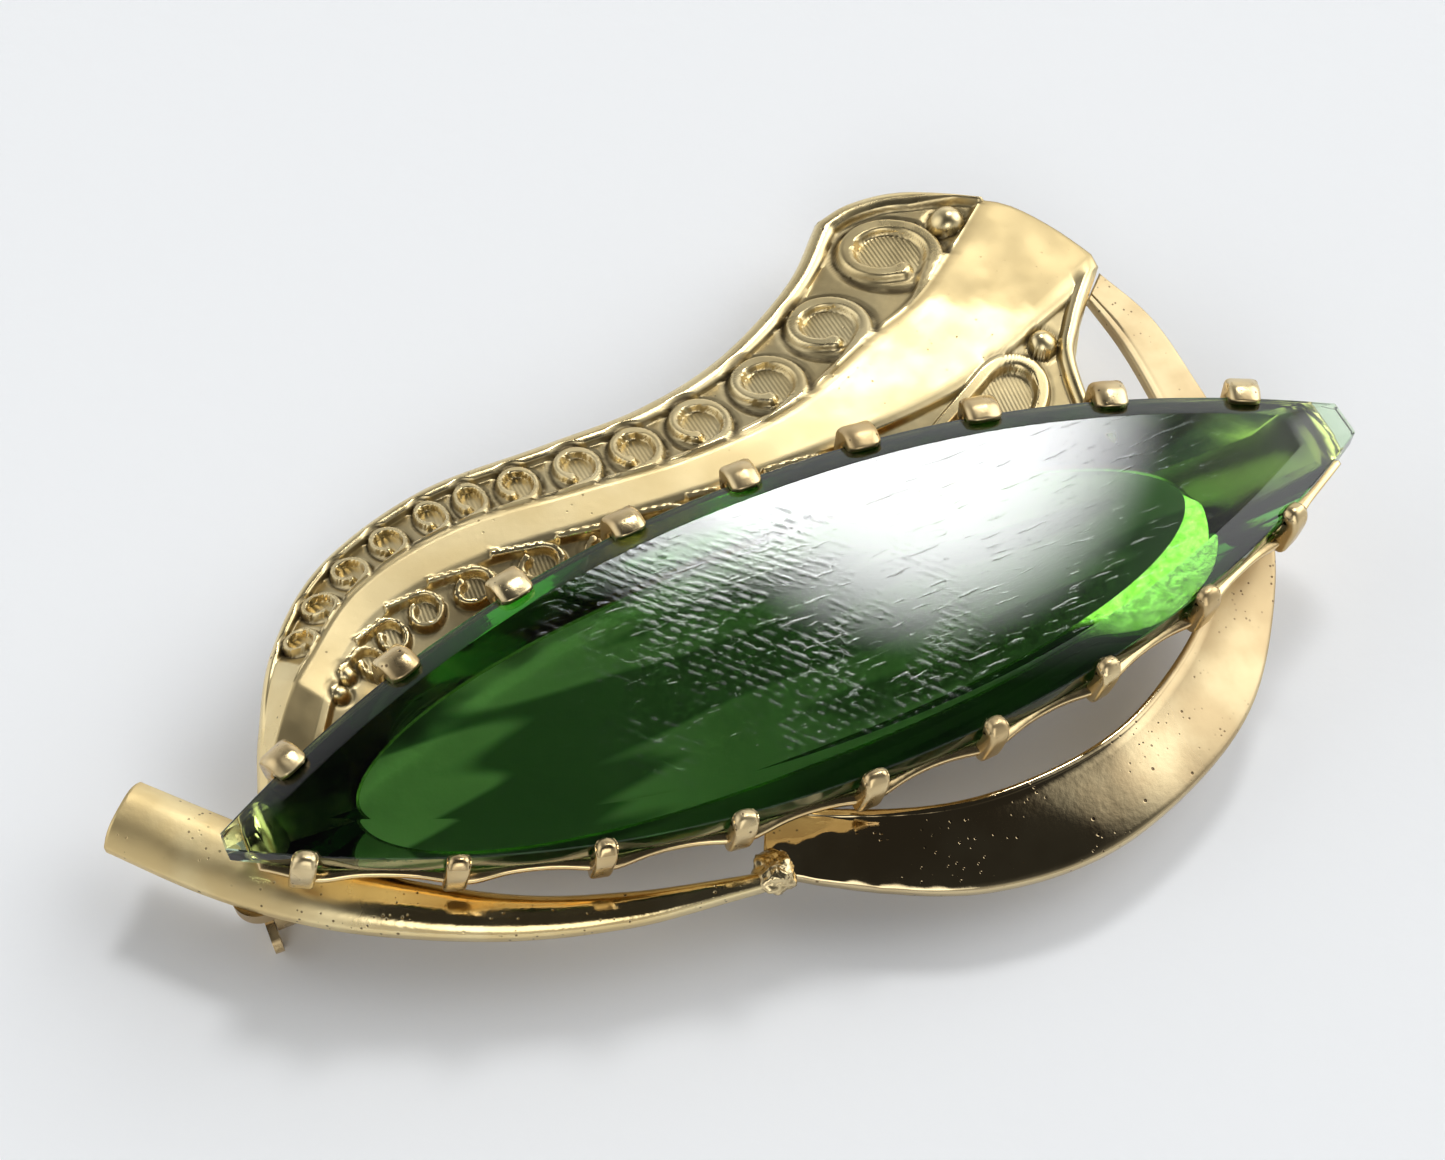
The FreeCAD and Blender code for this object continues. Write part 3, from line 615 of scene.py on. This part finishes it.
# Relief, in millimetres.  The rim and the rail take a share of the outer band, within limits.
RIM_SHARE, RIM_LIMITS = 0.25, (0.42, 1.15)
RAIL_SHARE, RAIL_LIMITS = 0.07, (0.16, 0.36)
CHANNEL_START = (1.86, 2.0)     # stations between which the outer channel sinks
CHANNEL_DEPTH, RIM_HEIGHT, SIDE_RIM, BEAD_SEAT, LINE_DEPTH = 0.30, 0.22, 0.8, -0.28, 0.10
# How dark the patina and painted shade are, 0 to 1.
OUTER_SHADE, OUTLINE_SHADE, LINE_SHADE, FIELD_SHADE, TROUGH_SHADE = 0.42, 0.75, 0.55, 0.45, 0.35
# The outer chain's place and half width are shares of its band.  The inner chain's are a
# distance from its crease and a length.
OUTER_LINE, OUTER_SCROLL_WIDTH = 0.615, 0.40
INNER_LINE, INNER_SCROLL_WIDTH = 1.25, 0.95
STATION_STEP = 0.05     # half step along the band that gives a scroll its direction
SCROLL_REACH = 2.2      # a scroll changes nothing further off, in half lengths
# A chain's scroll: depth of its floor and of the groove round it, height of its ridge, how
# clean the ridge is rubbed, how strongly the floor is hatched, how dark the patina and painted shade are in
# its parts.
OUTER_FORM = {"depth": 0.34, "groove": 0.10, "lift": 0.10, "clean": 0.92, "hatch": 1.0,
              "floor_shade": 0.22, "wall_shade": 0.85, "groove_shade": 0.95}
INNER_FORM = {"depth": 0.32, "groove": 0.0, "lift": 0.18, "clean": 1.0, "hatch": 0.8,
              "floor_shade": 0.45, "wall_shade": 0.0, "groove_shade": 0.7}

# The dull end of the plain band: a point on its edge, the way across that edge, and its extra shade.
RUBBED_FROM = (14.0, 14.8)
RUBBED_WAY = (0.50, 0.87)
RUBBED_SHADE = 0.75


def plume_outline():
    top = smooth_rows(PLUME_TOP_EDGE, np.linspace(0, 3, 60))
    side = smooth_rows(PLUME_INNER_EDGE, np.linspace(0, 3, 60))
    end = smooth_rows(PLUME_END_EDGE, np.linspace(0, 4, 50))
    return top, side, np.concatenate([top, end, side])


def plume_frame(t):
    """Outer point, inner point, crease shares, cut length and flange share at stations t."""
    row = smooth_rows(PLUME_CUTS, t)
    outer, inner = row[..., 0:2], row[..., 2:4]
    length = np.linalg.norm(inner - outer, axis=-1)
    flange = np.minimum(FLANGE / length, FLANGE_MOST)
    return outer, inner, row[..., 4], row[..., 5], length, flange


def column_share(zone, f, crease_out, crease_in, flange):
    edges = [0 * crease_out, crease_out, crease_in, 1 - flange, 1 + 0 * flange]
    return edges[zone] + (edges[zone + 1] - edges[zone]) * f


def first_crossing(path, line):
    """Index, with a fraction, where a path first crosses a polyline; the path's end if it never does."""
    a, b = path[:-1, None], path[1:, None]
    c, d = line[None, :-1], line[None, 1:]
    r, s = b - a, d - c
    cross = r[..., 0] * s[..., 1] - r[..., 1] * s[..., 0]
    cross = np.where(np.abs(cross) < 1e-12, 1e-12, cross)
    rel = c - a
    u = (rel[..., 0] * s[..., 1] - rel[..., 1] * s[..., 0]) / cross
    v = (rel[..., 0] * r[..., 1] - rel[..., 1] * r[..., 0]) / cross
    hit = (u >= 0) & (u <= 1) & (v >= -1e-6) & (v <= 1 + 1e-6)
    rows = np.where(hit.any(1))[0]
    if not len(rows):
        return len(path) - 1.0
    j = rows[0]
    return j + u[j][hit[j]].min()


def plume_grid():
    """Station of each point, rows along and columns across, and each column's band and share."""
    line = plume_outline()[2]
    fine = np.linspace(0, len(PLUME_CUTS) - 1, 1400)
    outer, inner, crease_out, crease_in, _, flange = plume_frame(fine)
    stations, zones = [], []
    for zone, count in enumerate(PLUME_COLUMNS):
        last = zone == len(PLUME_COLUMNS) - 1
        for f in np.linspace(0, 1, count + 1)[: None if last else -1]:
            share = column_share(zone, f, crease_out, crease_in, flange)
            path = outer + (inner - outer) * share[:, None]
            end = first_crossing(path, line)
            run = np.concatenate([[0], np.cumsum(np.linalg.norm(np.diff(path, axis=0), axis=1))])
            stop = np.interp(end, np.arange(len(run)), run)
            stations.append(np.interp(np.linspace(0, stop, PLUME_ROWS), run, fine))
            zones.append((zone, f))
    return np.array(stations).T, zones


def scroll_relief(plan, centre, along, across, half_long, half_wide):
    """One C-scroll on the points: (ridge 0..1, inside 0..1, groove 0..1)."""
    rel = plan - np.array(centre)
    a = rel @ along / half_long
    b = rel @ across / half_wide
    r = np.hypot(a, b)
    turn = np.mod(np.degrees(np.arctan2(a, b)), 360)
    mean = (half_long + half_wide) / 2
    path = 0.80 - 0.26 * step(turn, 215, 325)
    ring_half = 0.185 * mean
    off_ring = np.abs(r - path) * mean
    ring = (1 - step(off_ring, ring_half * 0.6, ring_half * 1.15)) * (1 - step(turn, 312, 330))
    curl = np.hypot((a + 0.40) * half_long, (b - 0.36) * half_wide)
    ball = 1 - step(curl, 0.14 * mean, 0.26 * mean)
    stem_b = 0.80 + 0.14 * np.clip(-a, 0, 2)
    off_stem = np.abs(b - stem_b) * half_wide
    on_stem = (a < 0.05) & (a > -1.55)
    stem = (1 - step(off_stem, ring_half * 0.5, ring_half * 1.05)) * on_stem
    ridge = np.maximum(np.maximum(ring, ball), stem)
    inside = 1 - step(r, 0.62, 0.80)
    groove = (1 - step(np.abs(r - 1.04) * mean, 0.03 * mean, 0.16 * mean)) * (turn > 20) * (turn < 340)
    return ridge, inside, groove


class Relief:
    """Height above the bare sheet, patina with painted shade, and hatching at each point of the plume."""

    def __init__(self, t, plan, zone):
        self.t, self.plan, self.zone = t, plan, zone
        self.height, self.shade, self.floor = np.zeros((3, len(plan)))
        top, side, _ = plume_outline()
        outer, inner, crease_out, crease_in, _, _ = plume_frame(np.linspace(0, len(PLUME_CUTS) - 1, 240))
        self.rim_line = np.concatenate([outer[outer[:, 0] < PLUME_TOP_EDGE[0][0]], top])
        self.crease_line = outer + (inner - outer) * crease_out[:, None]
        self.to_rim = distance_to(plan, self.rim_line)
        self.to_crease = distance_to(plan, self.crease_line)
        self.to_inner = distance_to(plan, outer + (inner - outer) * crease_in[:, None])
        self.to_side = distance_to(plan, side)

    # Darkens points: patina together with painted shade.
    def darken(self, shade):
        self.shade = np.maximum(self.shade, shade)

    def band_width(self, place):
        """Width of the outer band at a place in it."""
        here = np.array([place])
        return float(distance_to(here, self.rim_line)[0] + distance_to(here, self.crease_line)[0])

    def stamp(self, band, centre, along, across, half_long, half_wide, form):
        """Presses one C-scroll into a band."""
        close = band & (np.abs(self.plan - centre).max(1) < SCROLL_REACH * half_long)
        ridge, inside, groove = scroll_relief(self.plan[close], centre, along, across, half_long, half_wide)
        height, shade, floor = self.height[close], self.shade[close], self.floor[close]
        height = height * (1 - inside) - form["depth"] * inside - form["groove"] * groove
        self.height[close] = height * (1 - ridge) + form["lift"] * ridge
        # Painted shade on the scroll's inner wall; patina with painted shade in its floor and groove.
        wall = 4 * inside * (1 - inside)
        shade = np.maximum(shade * (1 - inside) + form["floor_shade"] * inside, form["wall_shade"] * wall)
        shade = np.maximum(shade, form["groove_shade"] * groove)
        self.shade[close] = shade * (1 - form["clean"] * ridge)
        self.floor[close] = np.maximum(floor, form["hatch"] * inside) * (1 - ridge)


def mid_and_way(ends):
    """Middle of two plan points, and the unit direction from the first to the second."""
    along = ends[1] - ends[0]
    return ends.mean(0), along / np.linalg.norm(along)


def outer_chain_place(station):
    """Middle and direction of an outer scroll."""
    beside = np.array([station - STATION_STEP, station + STATION_STEP])
    outer, inner, crease_out, _, _, _ = plume_frame(beside)
    return mid_and_way(outer + (inner - outer) * (crease_out * OUTER_LINE)[:, None])


def inner_chain_place(station):
    """Middle and direction of an inner scroll."""
    beside = np.array([station - STATION_STEP, station + STATION_STEP])
    outer, inner, _, crease_in, length, _ = plume_frame(beside)
    return mid_and_way(outer + (inner - outer) * (crease_in + INNER_LINE / length)[:, None])


def press_outer_band(relief):
    """Rounded rim, sunk channel with outlines, both darkened with patina and painted shade, the chain of
    scrolls, and the crease line.
    """
    band = relief.zone == 0
    width = relief.to_rim + relief.to_crease
    rim_width = np.clip(RIM_SHARE * width, *RIM_LIMITS)
    rail_width = np.clip(RAIL_SHARE * width, *RAIL_LIMITS)
    sunk = step(relief.t, *CHANNEL_START) * band
    channel = step(relief.to_rim, rim_width - 0.08, rim_width + 0.10)
    channel *= step(relief.to_crease, rail_width, rail_width + 0.2) * sunk
    rim = np.sin(np.pi * np.clip(relief.to_rim / rim_width, 0, 1)) * step(relief.t, 0.6, 2.2) * band
    relief.height += RIM_HEIGHT * rim
    relief.height -= CHANNEL_DEPTH * channel
    outline = 1 - step(np.abs(relief.to_rim - rim_width), 0.02, 0.11)
    outline = np.maximum(outline, 1 - step(np.abs(relief.to_crease - rail_width - 0.1), 0.02, 0.10))
    # Patina with painted shade in the channel and along its outlines.
    relief.darken(np.maximum(OUTER_SHADE * channel, OUTLINE_SHADE * outline * sunk))
    for station, half_long in OUTER_SCROLLS:
        centre, along = outer_chain_place(station)
        across = np.array((along[1], -along[0]))
        half_wide = OUTER_SCROLL_WIDTH * relief.band_width(centre)
        relief.stamp(band, centre, along, across, half_long, half_wide, OUTER_FORM)
    relief.height *= np.where(band, step(relief.to_crease, 0.0, 0.14), 1.0)
    line = (1 - step(relief.to_crease, 0.03, 0.13)) * step(relief.t, 1.2, 2.2)
    relief.height -= LINE_DEPTH * line
    # Patina with painted shade along the crease line.
    relief.darken(LINE_SHADE * line)


def press_inner_band(relief):
    """Sunk field and trough darkened with patina and painted shade, a rounded side rim and the inner chain of
    scrolls.
    """
    band = relief.zone == 2
    trough = (1 - step(relief.to_inner, 0.05, 0.42)) * band
    field = step(relief.to_inner, 0.3, 0.5) * step(relief.to_side, 0.75, 0.95)
    field *= step(relief.t, 0.9, 1.5) * band
    relief.height -= CHANNEL_DEPTH * field
    # Patina with painted shade in the sunk field and the trough by the crease.
    relief.darken(FIELD_SHADE * field)
    relief.darken(TROUGH_SHADE * trough)
    side_rim = np.sin(np.pi * np.clip(relief.to_side / SIDE_RIM, 0, 1)) * band
    relief.height += RIM_HEIGHT * side_rim
    chain = []
    for station, half_long in INNER_SCROLLS:
        centre, along = inner_chain_place(station)
        chain.append((centre, along, half_long, INNER_SCROLL_WIDTH))
    way = np.array(BIG_SCROLL_WAY)
    chain.append((np.array(BIG_SCROLL[0]), way / np.linalg.norm(way), BIG_SCROLL[1], BIG_SCROLL[2]))
    for centre, along, half_long, half_wide in chain:
        across = np.array((-along[1], along[0]))
        relief.stamp(band, centre, along, across, half_long, half_wide, INNER_FORM)


def press_beads(relief):
    """Round beads, each in a shallow ring darkened with patina and painted shade."""
    for centre, radius in BEADS:
        gap = np.hypot(*(relief.plan - np.array(centre)).T)
        on_bead = gap < radius
        dome = np.sqrt(np.clip(1 - (gap / radius) ** 2, 0, 1)) * 1.15
        ring = (1 - step(np.abs(gap - radius * 1.12), 0.04, 0.2)) * (gap > radius)
        raised = np.maximum(relief.height, BEAD_SEAT + radius * 0.8 * dome)
        relief.height = np.where(on_bead, raised, relief.height - 0.06 * ring)
        # Patina with painted shade in the ring round each bead.
        ringed = np.maximum(relief.shade, 0.8 * ring * (relief.zone != 1))
        relief.shade = np.where(on_bead, 0.0, ringed)


def rubbed_end(plan):
    """1 on the duller wide end of the plain band, past a ragged line across it, and 0 elsewhere."""
    way = np.array(RUBBED_WAY) / np.linalg.norm(RUBBED_WAY)
    past = (plan - np.array(RUBBED_FROM)) @ way
    along = (plan - np.array(RUBBED_FROM)) @ np.array((way[1], -way[0]))
    ragged = 0.22 * np.sin(2.6 * along) + 0.12 * np.sin(7.3 * along + 1.0) + 0.07 * np.sin(17.0 * along)
    return step(past + ragged, -0.25, 0.45)


def bent_sheet(stations, zones):
    """Plan points, bands and heights of the sheet's top before it is embossed."""
    outer, inner, crease_out, crease_in, length, flange = plume_frame(stations)
    share = np.zeros_like(stations)
    zone = np.zeros(stations.shape, int)
    for k, (z, f) in enumerate(zones):
        share[:, k] = column_share(z, f, crease_out[:, k], crease_in[:, k], flange[:, k])
        zone[:, k] = z
    plan = outer + (inner - outer) * share[..., None]
    far_edge = (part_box("plume")[1].y - ORIGIN.y) / MM
    plan[..., 1] = np.minimum(plan[..., 1], far_edge)
    full = np.minimum(1.0, length / FULL_WIDTH)
    knots = [0 * share, crease_out, crease_in, 1 - flange, 1 + 0 * share]
    lifts = [RIM_LIFT + 0 * full, RIDGE_OUT * full, RIDGE_IN * full, 0 * full, 0 * full]
    height = np.zeros_like(share)
    for z in range(4):
        f = (share - knots[z]) / (knots[z + 1] - knots[z])
        inside = (f >= -1e-9) & (f <= 1 + 1e-9)
        height = np.where(inside, lifts[z] + (lifts[z + 1] - lifts[z]) * f, height)
    return plan, zone, height + SHEET_TOP


def sheet_faces(rows, columns, picks):
    """Faces of a closed sheet: a fine top grid over a back that keeps only the picked columns."""
    start = rows * columns
    wide = len(picks)
    faces = []
    for j in range(rows - 1):
        a, b = j * columns, (j + 1) * columns
        faces += [(a + k, b + k, b + k + 1, a + k + 1) for k in range(columns - 1)]
        c, d = start + j * wide, start + (j + 1) * wide
        faces += [(c + k, c + k + 1, d + k + 1, d + k) for k in range(wide - 1)]
        faces.append((a, c, d, b))
        faces.append((a + columns - 1, b + columns - 1, d + wide - 1, c + wide - 1))
    for j, flip in ((0, False), (rows - 1, True)):
        for k, (p, q) in enumerate(zip(picks, picks[1:])):
            below = start + j * wide + k
            ring = [j * columns + c for c in range(p, q + 1)] + [below + 1, below]
            faces.append(tuple(reversed(ring)) if flip else tuple(ring))
    return faces


def make_plume(material):
    """Formed and embossed sheet: scroll bands each side of a plain band."""
    stations, zones = plume_grid()
    rows, columns = stations.shape
    plan, zone, bare = bent_sheet(stations, zones)
    flat = plan.reshape(-1, 2)
    relief = Relief(stations.ravel(), flat, zone.ravel())
    press_outer_band(relief)
    press_inner_band(relief)
    press_beads(relief)
    edge_line = np.concatenate([plan[0, ::-1], plan[:, 0], plan[-1]])
    into_edge = np.clip(EDGE_ROLL - distance_to(flat, edge_line), 0, None)
    roll = EDGE_ROLL - np.sqrt(np.clip(EDGE_ROLL ** 2 - into_edge ** 2, 0, None))
    top = np.concatenate([flat, (bare.ravel() + relief.height - roll)[:, None]], 1)
    back = np.concatenate([flat, (bare.ravel() - SHEET + roll * 0.6)[:, None]], 1)
    picks = sorted({*range(0, columns, UNDER_STEP), columns - 1})
    back = back.reshape(rows, columns, 3)[:, picks].reshape(-1, 3)
    verts = np.concatenate([top, back])
    faces = sheet_faces(rows, columns, picks)
    piece = add_piece("embossed_plume", verts, faces, material, nodes=("plume",), sharp=60)
    plain = (zone == 1).ravel() * (1 + RUBBED_SHADE * rubbed_end(flat))
    for name, values in (("shade", relief.shade), ("floor", relief.floor), ("plain", plain)):
        layer = piece.data.attributes.new(name, "FLOAT", "POINT")
        layer.data.foreach_set("value", np.concatenate([values, np.zeros(len(back))]).astype(np.float32))


# ---- Loop, tail and solder ----
# Inner x, y, outer x, y, shares of the outer drop and of the upper rise, as in the CAD.
LOOP_CUTS = [
    (20.9, 12.9, 22.3, 14.2, 0.0, 1.00),
    (21.3, 10.0, 23.6, 10.8, 0.1, 0.65),
    (21.3, 6.2, 23.9, 6.6, 0.1, 0.22),
    (20.9, 2.4, 23.8, 2.2, 0.0, 0.0),
    (19.8, -1.6, 23.0, -2.2, 0.0, 0.0),
    (17.4, -5.0, 20.9, -6.2, 0.7, 0.0),
    (14.3, -7.3, 17.4, -10.1, 0.9, 0.0),
    (10.6, -9.0, 12.7, -12.6, 1.0, 0.0),
    (6.4, -9.6, 7.4, -13.9, 1.0, 0.0),
    (2.2, -9.3, 1.8, -13.3, 1.0, 0.0),
    (-2.0, -7.9, -3.2, -11.1, 0.8, 0.0),
    (-5.6, -6.0, -7.0, -8.8, 0.4, 0.0),
]
LOOP_LIP, LOOP_DROP, LOOP_RISE, LOOP_CROWN = 0.7, 1.1, 0.95, 0.25
TAIL_CUTS = [
    (-33.4, 3.6, -31.0, 6.1),
    (-30.1, 0.0, -27.6, 2.5),
    (-26.5, -3.1, -24.2, -1.0),
    (-22.6, -5.5, -21.0, -3.5),
    (-18.0, -7.6, -17.0, -5.9),
    (-13.2, -9.0, -12.6, -7.6),
    (-8.6, -9.6, -8.4, -8.7),
    (-6.6, -9.8, -6.5, -9.1),
]
TAIL_CROWN = 0.75


def swept(rows, places, section):
    """Skin of sections across a band; section(row, width) gives (across, z) points in millimetres."""
    rings = []
    for row in smooth_rows(rows, places):
        inner, outer = row[0:2], row[2:4]
        width = np.linalg.norm(outer - inner)
        across = (outer - inner) / width
        ring = [(*(inner + across * a), z) for a, z in section(row, width)]
        rings.append(ring)
    return loft(rings)


def loop_section(row, width):
    """Crowned sheet with a rounded outer edge and a turned-down inner lip."""
    drop, rise = max(row[4], 0.0), row[5]
    top = SHEET_TOP + LOOP_RISE * rise
    low = top - SHEET
    fall = LOOP_DROP * drop
    lip_low = low - LOOP_LIP * drop - 0.001

    def sag(share):
        return -fall * share + 4 * LOOP_CROWN * drop * share * (1 - share)

    bead = 0.07 * min(1.0, drop * 2)
    corners = [(0, top + bead, 0.16), (0.34, top + bead, 0.12), (0.46, top - 0.02, 0)]
    corners += [(width * s, top + sag(s), 0) for s in np.linspace(0.2, 0.92, 10)]
    corners += [(width, top + sag(1), 0.2), (width, low + sag(1), 0.2)]
    corners += [(width * s, low + sag(s), 0) for s in np.linspace(0.92, 0.3, 7)]
    lip = min(0.3 * width, SHEET)
    corners += [(lip, low, 0.1), (lip, lip_low, 0.12), (0, lip_low, 0.12)]
    return rounded(corners, 4)


def ruffle(verts, amount, size, seed):
    """Uneven surface: each point moved up or down by a smooth seeded noise."""
    for v in verts:
        v[2] += amount * noise.noise(Vector((v[0] / size + seed, v[1] / size, v[2] / size)))


def make_loop(material):
    rows = np.array(LOOP_CUTS)
    verts, faces = swept(rows, even_places(rows[:, :2], 260), loop_section)
    near_joint = 1 - step(verts[:, 0], -3.5, 3.0)
    for v, share in zip(verts, near_joint):
        bump = noise.noise(Vector((v[0] * 1.1, v[1] * 0.9, 3.0)))
        v[2] += 0.09 * share * bump + 0.03 * noise.noise(Vector((v[0] * 0.35, v[1] * 0.35, 7.0)))
    piece = add_piece("loop_sheet", verts, faces, material, nodes=("loop_band",))
    face_outwards(piece)


def tail_section(_row, width):
    """Arched ribbon, flat across the middle and falling steeply to both rounded edges."""
    widest = math.dist(TAIL_CUTS[0][:2], TAIL_CUTS[0][2:])
    crown = TAIL_CROWN * width / widest

    def arch(s):
        return BAR_TOP + crown * (1 - abs(2 * s - 1) ** 3.2)

    corners = [(0, arch(0) + SHEET, 0.16)]
    corners += [(width * s, arch(s) + SHEET, 0) for s in np.linspace(0.1, 0.9, 13)]
    corners += [(width, arch(1) + SHEET, 0.16), (width, arch(1), 0.12)]
    corners += [(width * s, arch(s), 0) for s in np.linspace(0.9, 0.1, 7)]
    corners += [(0, arch(0), 0.12)]
    return rounded(corners, 4)


def make_tail(material):
    rows = np.array(TAIL_CUTS)
    verts, faces = swept(rows, even_places(rows[:, :2], 220), tail_section)
    ruffle(verts, 0.04, 2.5, 5.0)
    piece = add_piece("tail_sheet", verts, faces, material, nodes=("tail_ribbon",))
    face_outwards(piece)


def make_solder(material):
    """Lumpy blob that wets the ribbon's thin end and the loop's edge."""
    low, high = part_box("solder_joint")
    centre = np.array(((low + high) / 2 - ORIGIN) / MM)
    radius = (high.x - low.x) / 2 / MM
    rings = []
    for turn in np.linspace(0.02, math.pi - 0.02, 40):
        ring = []
        for angle in np.linspace(0, 2 * math.pi, 64, endpoint=False):
            way = Vector((math.sin(turn) * math.cos(angle), math.sin(turn) * math.sin(angle), math.cos(turn)))
            rough = noise.fractal(way * 1.6, 1.0, 2.0, 4)
            size = radius * (0.93 + 0.22 * rough)
            ring.append(centre + np.array(way) * (1.05 * size, 1.05 * size, 0.8 * size))
        rings.append(ring)
    verts, faces = loft(rings)
    piece = add_piece("solder_lump", verts, faces, material, nodes=("solder_joint",))
    face_outwards(piece)


# ---- Stage: floor, light and camera ----
VIEW_TURN = 24.194
VIEW_ELEVATION = 59.0
VIEW_ROLL = -0.769
VIEW_DISTANCE = 98.573
VIEW_TARGET = (-3.627, 3.467, 8.4)
LENS = 53.76
FLOOR_HALF = 1.5        # metres


def view_axes():
    turn, rise, roll = (math.radians(a) for a in (VIEW_TURN, VIEW_ELEVATION, VIEW_ROLL))
    back = Vector((-math.sin(turn) * math.cos(rise), -math.cos(turn) * math.cos(rise), math.sin(rise)))
    right = Vector((math.cos(turn), -math.sin(turn), 0))
    up = back.cross(right)
    return (right * math.cos(roll) - up * math.sin(roll), right * math.sin(roll) + up * math.cos(roll), back)


def make_camera():
    data = bpy.data.cameras.new("camera")
    data.sensor_fit = "HORIZONTAL"
    data.sensor_width = 36.0
    data.lens = LENS
    data.clip_start = 0.005
    data.clip_end = 20
    camera = bpy.data.objects.new("camera", data)
    bpy.context.scene.collection.objects.link(camera)
    right, up, back = view_axes()
    eye = ORIGIN + Vector(VIEW_TARGET) * MM + back * VIEW_DISTANCE * MM
    camera.matrix_world = Matrix.Translation(eye) @ Matrix((right, up, back)).transposed().to_4x4()
    bpy.context.scene.camera = camera


def make_floor():
    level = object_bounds()[0][2]
    corners = [(x, y, level) for x, y in ((-1, -1), (1, -1), (1, 1), (-1, 1))]
    mesh = bpy.data.meshes.new("floor")
    mesh.from_pydata([(x * FLOOR_HALF, y * FLOOR_HALF, z) for x, y, z in corners], [], [(0, 1, 2, 3)])
    s = Shader("pale_board")
    s.feed(s.main.inputs["Base Color"], rgb(0.90, 0.91, 0.92))
    s.feed(s.main.inputs["Roughness"], 0.55)
    s.feed(s.main.inputs["Specular IOR Level"], 0.12)
    s.feed(s.main.inputs["Normal"], s.bump(s.noise(1.2, 4), 0.02))
    mesh.materials.append(s.material)
    floor = bpy.data.objects.new("floor", mesh)
    bpy.context.scene.collection.objects.link(floor)
    floor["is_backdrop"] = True


# Soft patches of studio light: azimuth from +X, elevation, inner and outer half angle, radiance.
SOFT_LIGHTS = [
    (57.5, 53.8, 1.8, 7.0, 24.0),
    (68.0, 54.8, 1.0, 5.2, 19.0),
    (5.0, 36.0, 12.0, 38.0, 2.8),
    (-115.0, 38.0, 6.0, 22.0, 2.4),
    (150.0, 25.0, 10.0, 35.0, 1.0),
    (62.0, 14.0, 6.0, 24.0, 0.6),
]
SKY_LOW, SKY_HIGH = 0.60, 0.035


def make_world():
    """Dim surround, brighter towards the horizon, with soft patches of light."""
    world = bpy.data.worlds.new("studio")
    world.use_nodes = True
    tree = world.node_tree
    links, nodes = tree.links, tree.nodes
    way = nodes.new("ShaderNodeTexCoord").outputs["Generated"]
    level = nodes.new("ShaderNodeSeparateXYZ")
    links.new(way, level.inputs[0])
    fade = nodes.new("ShaderNodeMapRange")
    fade.interpolation_type = "SMOOTHSTEP"
    fade.inputs["From Min"].default_value = 0.15
    fade.inputs["From Max"].default_value = 0.85
    fade.inputs["To Min"].default_value = SKY_LOW
    fade.inputs["To Max"].default_value = SKY_HIGH
    links.new(level.outputs["Z"], fade.inputs["Value"])
    total = fade.outputs["Result"]
    for azimuth, elevation, inner, outer, radiance in SOFT_LIGHTS:
        a, e = math.radians(azimuth), math.radians(elevation)
        aim = nodes.new("ShaderNodeVectorMath")
        aim.operation = "DOT_PRODUCT"
        links.new(way, aim.inputs[0])
        aim.inputs[1].default_value = (math.cos(a) * math.cos(e), math.sin(a) * math.cos(e), math.sin(e))
        patch = nodes.new("ShaderNodeMapRange")
        patch.interpolation_type = "SMOOTHSTEP"
        patch.inputs["From Min"].default_value = math.cos(math.radians(outer))
        patch.inputs["From Max"].default_value = math.cos(math.radians(inner))
        patch.inputs["To Max"].default_value = radiance
        links.new(aim.outputs["Value"], patch.inputs["Value"])
        add = nodes.new("ShaderNodeMath")
        links.new(total, add.inputs[0])
        links.new(patch.outputs["Result"], add.inputs[1])
        total = add.outputs[0]
    links.new(total, nodes["Background"].inputs["Strength"])
    nodes["Background"].inputs["Color"].default_value = rgb(0.98, 0.99, 1.0)
    world.cycles.sampling_method = "MANUAL"
    world.cycles.sample_map_resolution = 1024
    bpy.context.scene.world = world


# ---- Assembly ----
def dress(node, material):
    """A CAD node that stays in sight gets its finish."""
    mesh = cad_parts[node].data
    mesh.materials.clear()
    mesh.materials.append(material)


def main():
    bpy.context.scene.view_settings.view_transform = "Standard"
    # The plume's gilt carries patina and painted shade in its hollows.
    plume_gold = gold("plume_gilt_painted_shade", rgb(0.80, 0.66, 0.37), rgb(0.73, 0.58, 0.30), 0.27, cloud=0.5, wave=0.005,
                      aged_and_shaded=True)
    claw_gold = gold("claw_gilt", rgb(0.72, 0.58, 0.33), rgb(0.58, 0.43, 0.22), 0.28, speck=0.45, grain=0.010)
    loop_gold = gold("loop_gilt", rgb(0.62, 0.50, 0.29), rgb(0.50, 0.38, 0.21), 0.06, speck=0.7, wave=0.004,
                     matt=(9.0, 18.0, 0.42))
    tail_gold = gold("tail_gilt", rgb(0.84, 0.69, 0.38), rgb(0.74, 0.57, 0.28), 0.12, speck=0.75, grain=0.010,
                     wave=0.012, matt=(-21.0, -28.0, 0.34))
    tray_gold = gold("tray_gilt", rgb(0.84, 0.65, 0.34), rgb(0.74, 0.54, 0.27), 0.16)
    brass = gold("hardware_gilt", rgb(0.62, 0.47, 0.25), rgb(0.48, 0.34, 0.17), 0.30, speck=0.3)
    solder = gold("solder_gilt", rgb(0.66, 0.53, 0.30), rgb(0.30, 0.22, 0.12), 0.22, speck=0.7, grain=0.03)
    wire = steel_wire()
    make_stone()
    make_claws(claw_gold)
    make_plume(plume_gold)
    make_loop(loop_gold)
    make_tail(tail_gold)
    make_solder(solder)
    make_tray(tray_gold)
    for node in ("pin_bar", "hinge_base", "hinge_rivet", "catch_housing", "catch_sleeve"):
        dress(node, brass)
    dress("pin_stem", wire)
    make_floor()
    make_world()
    make_camera()


main()
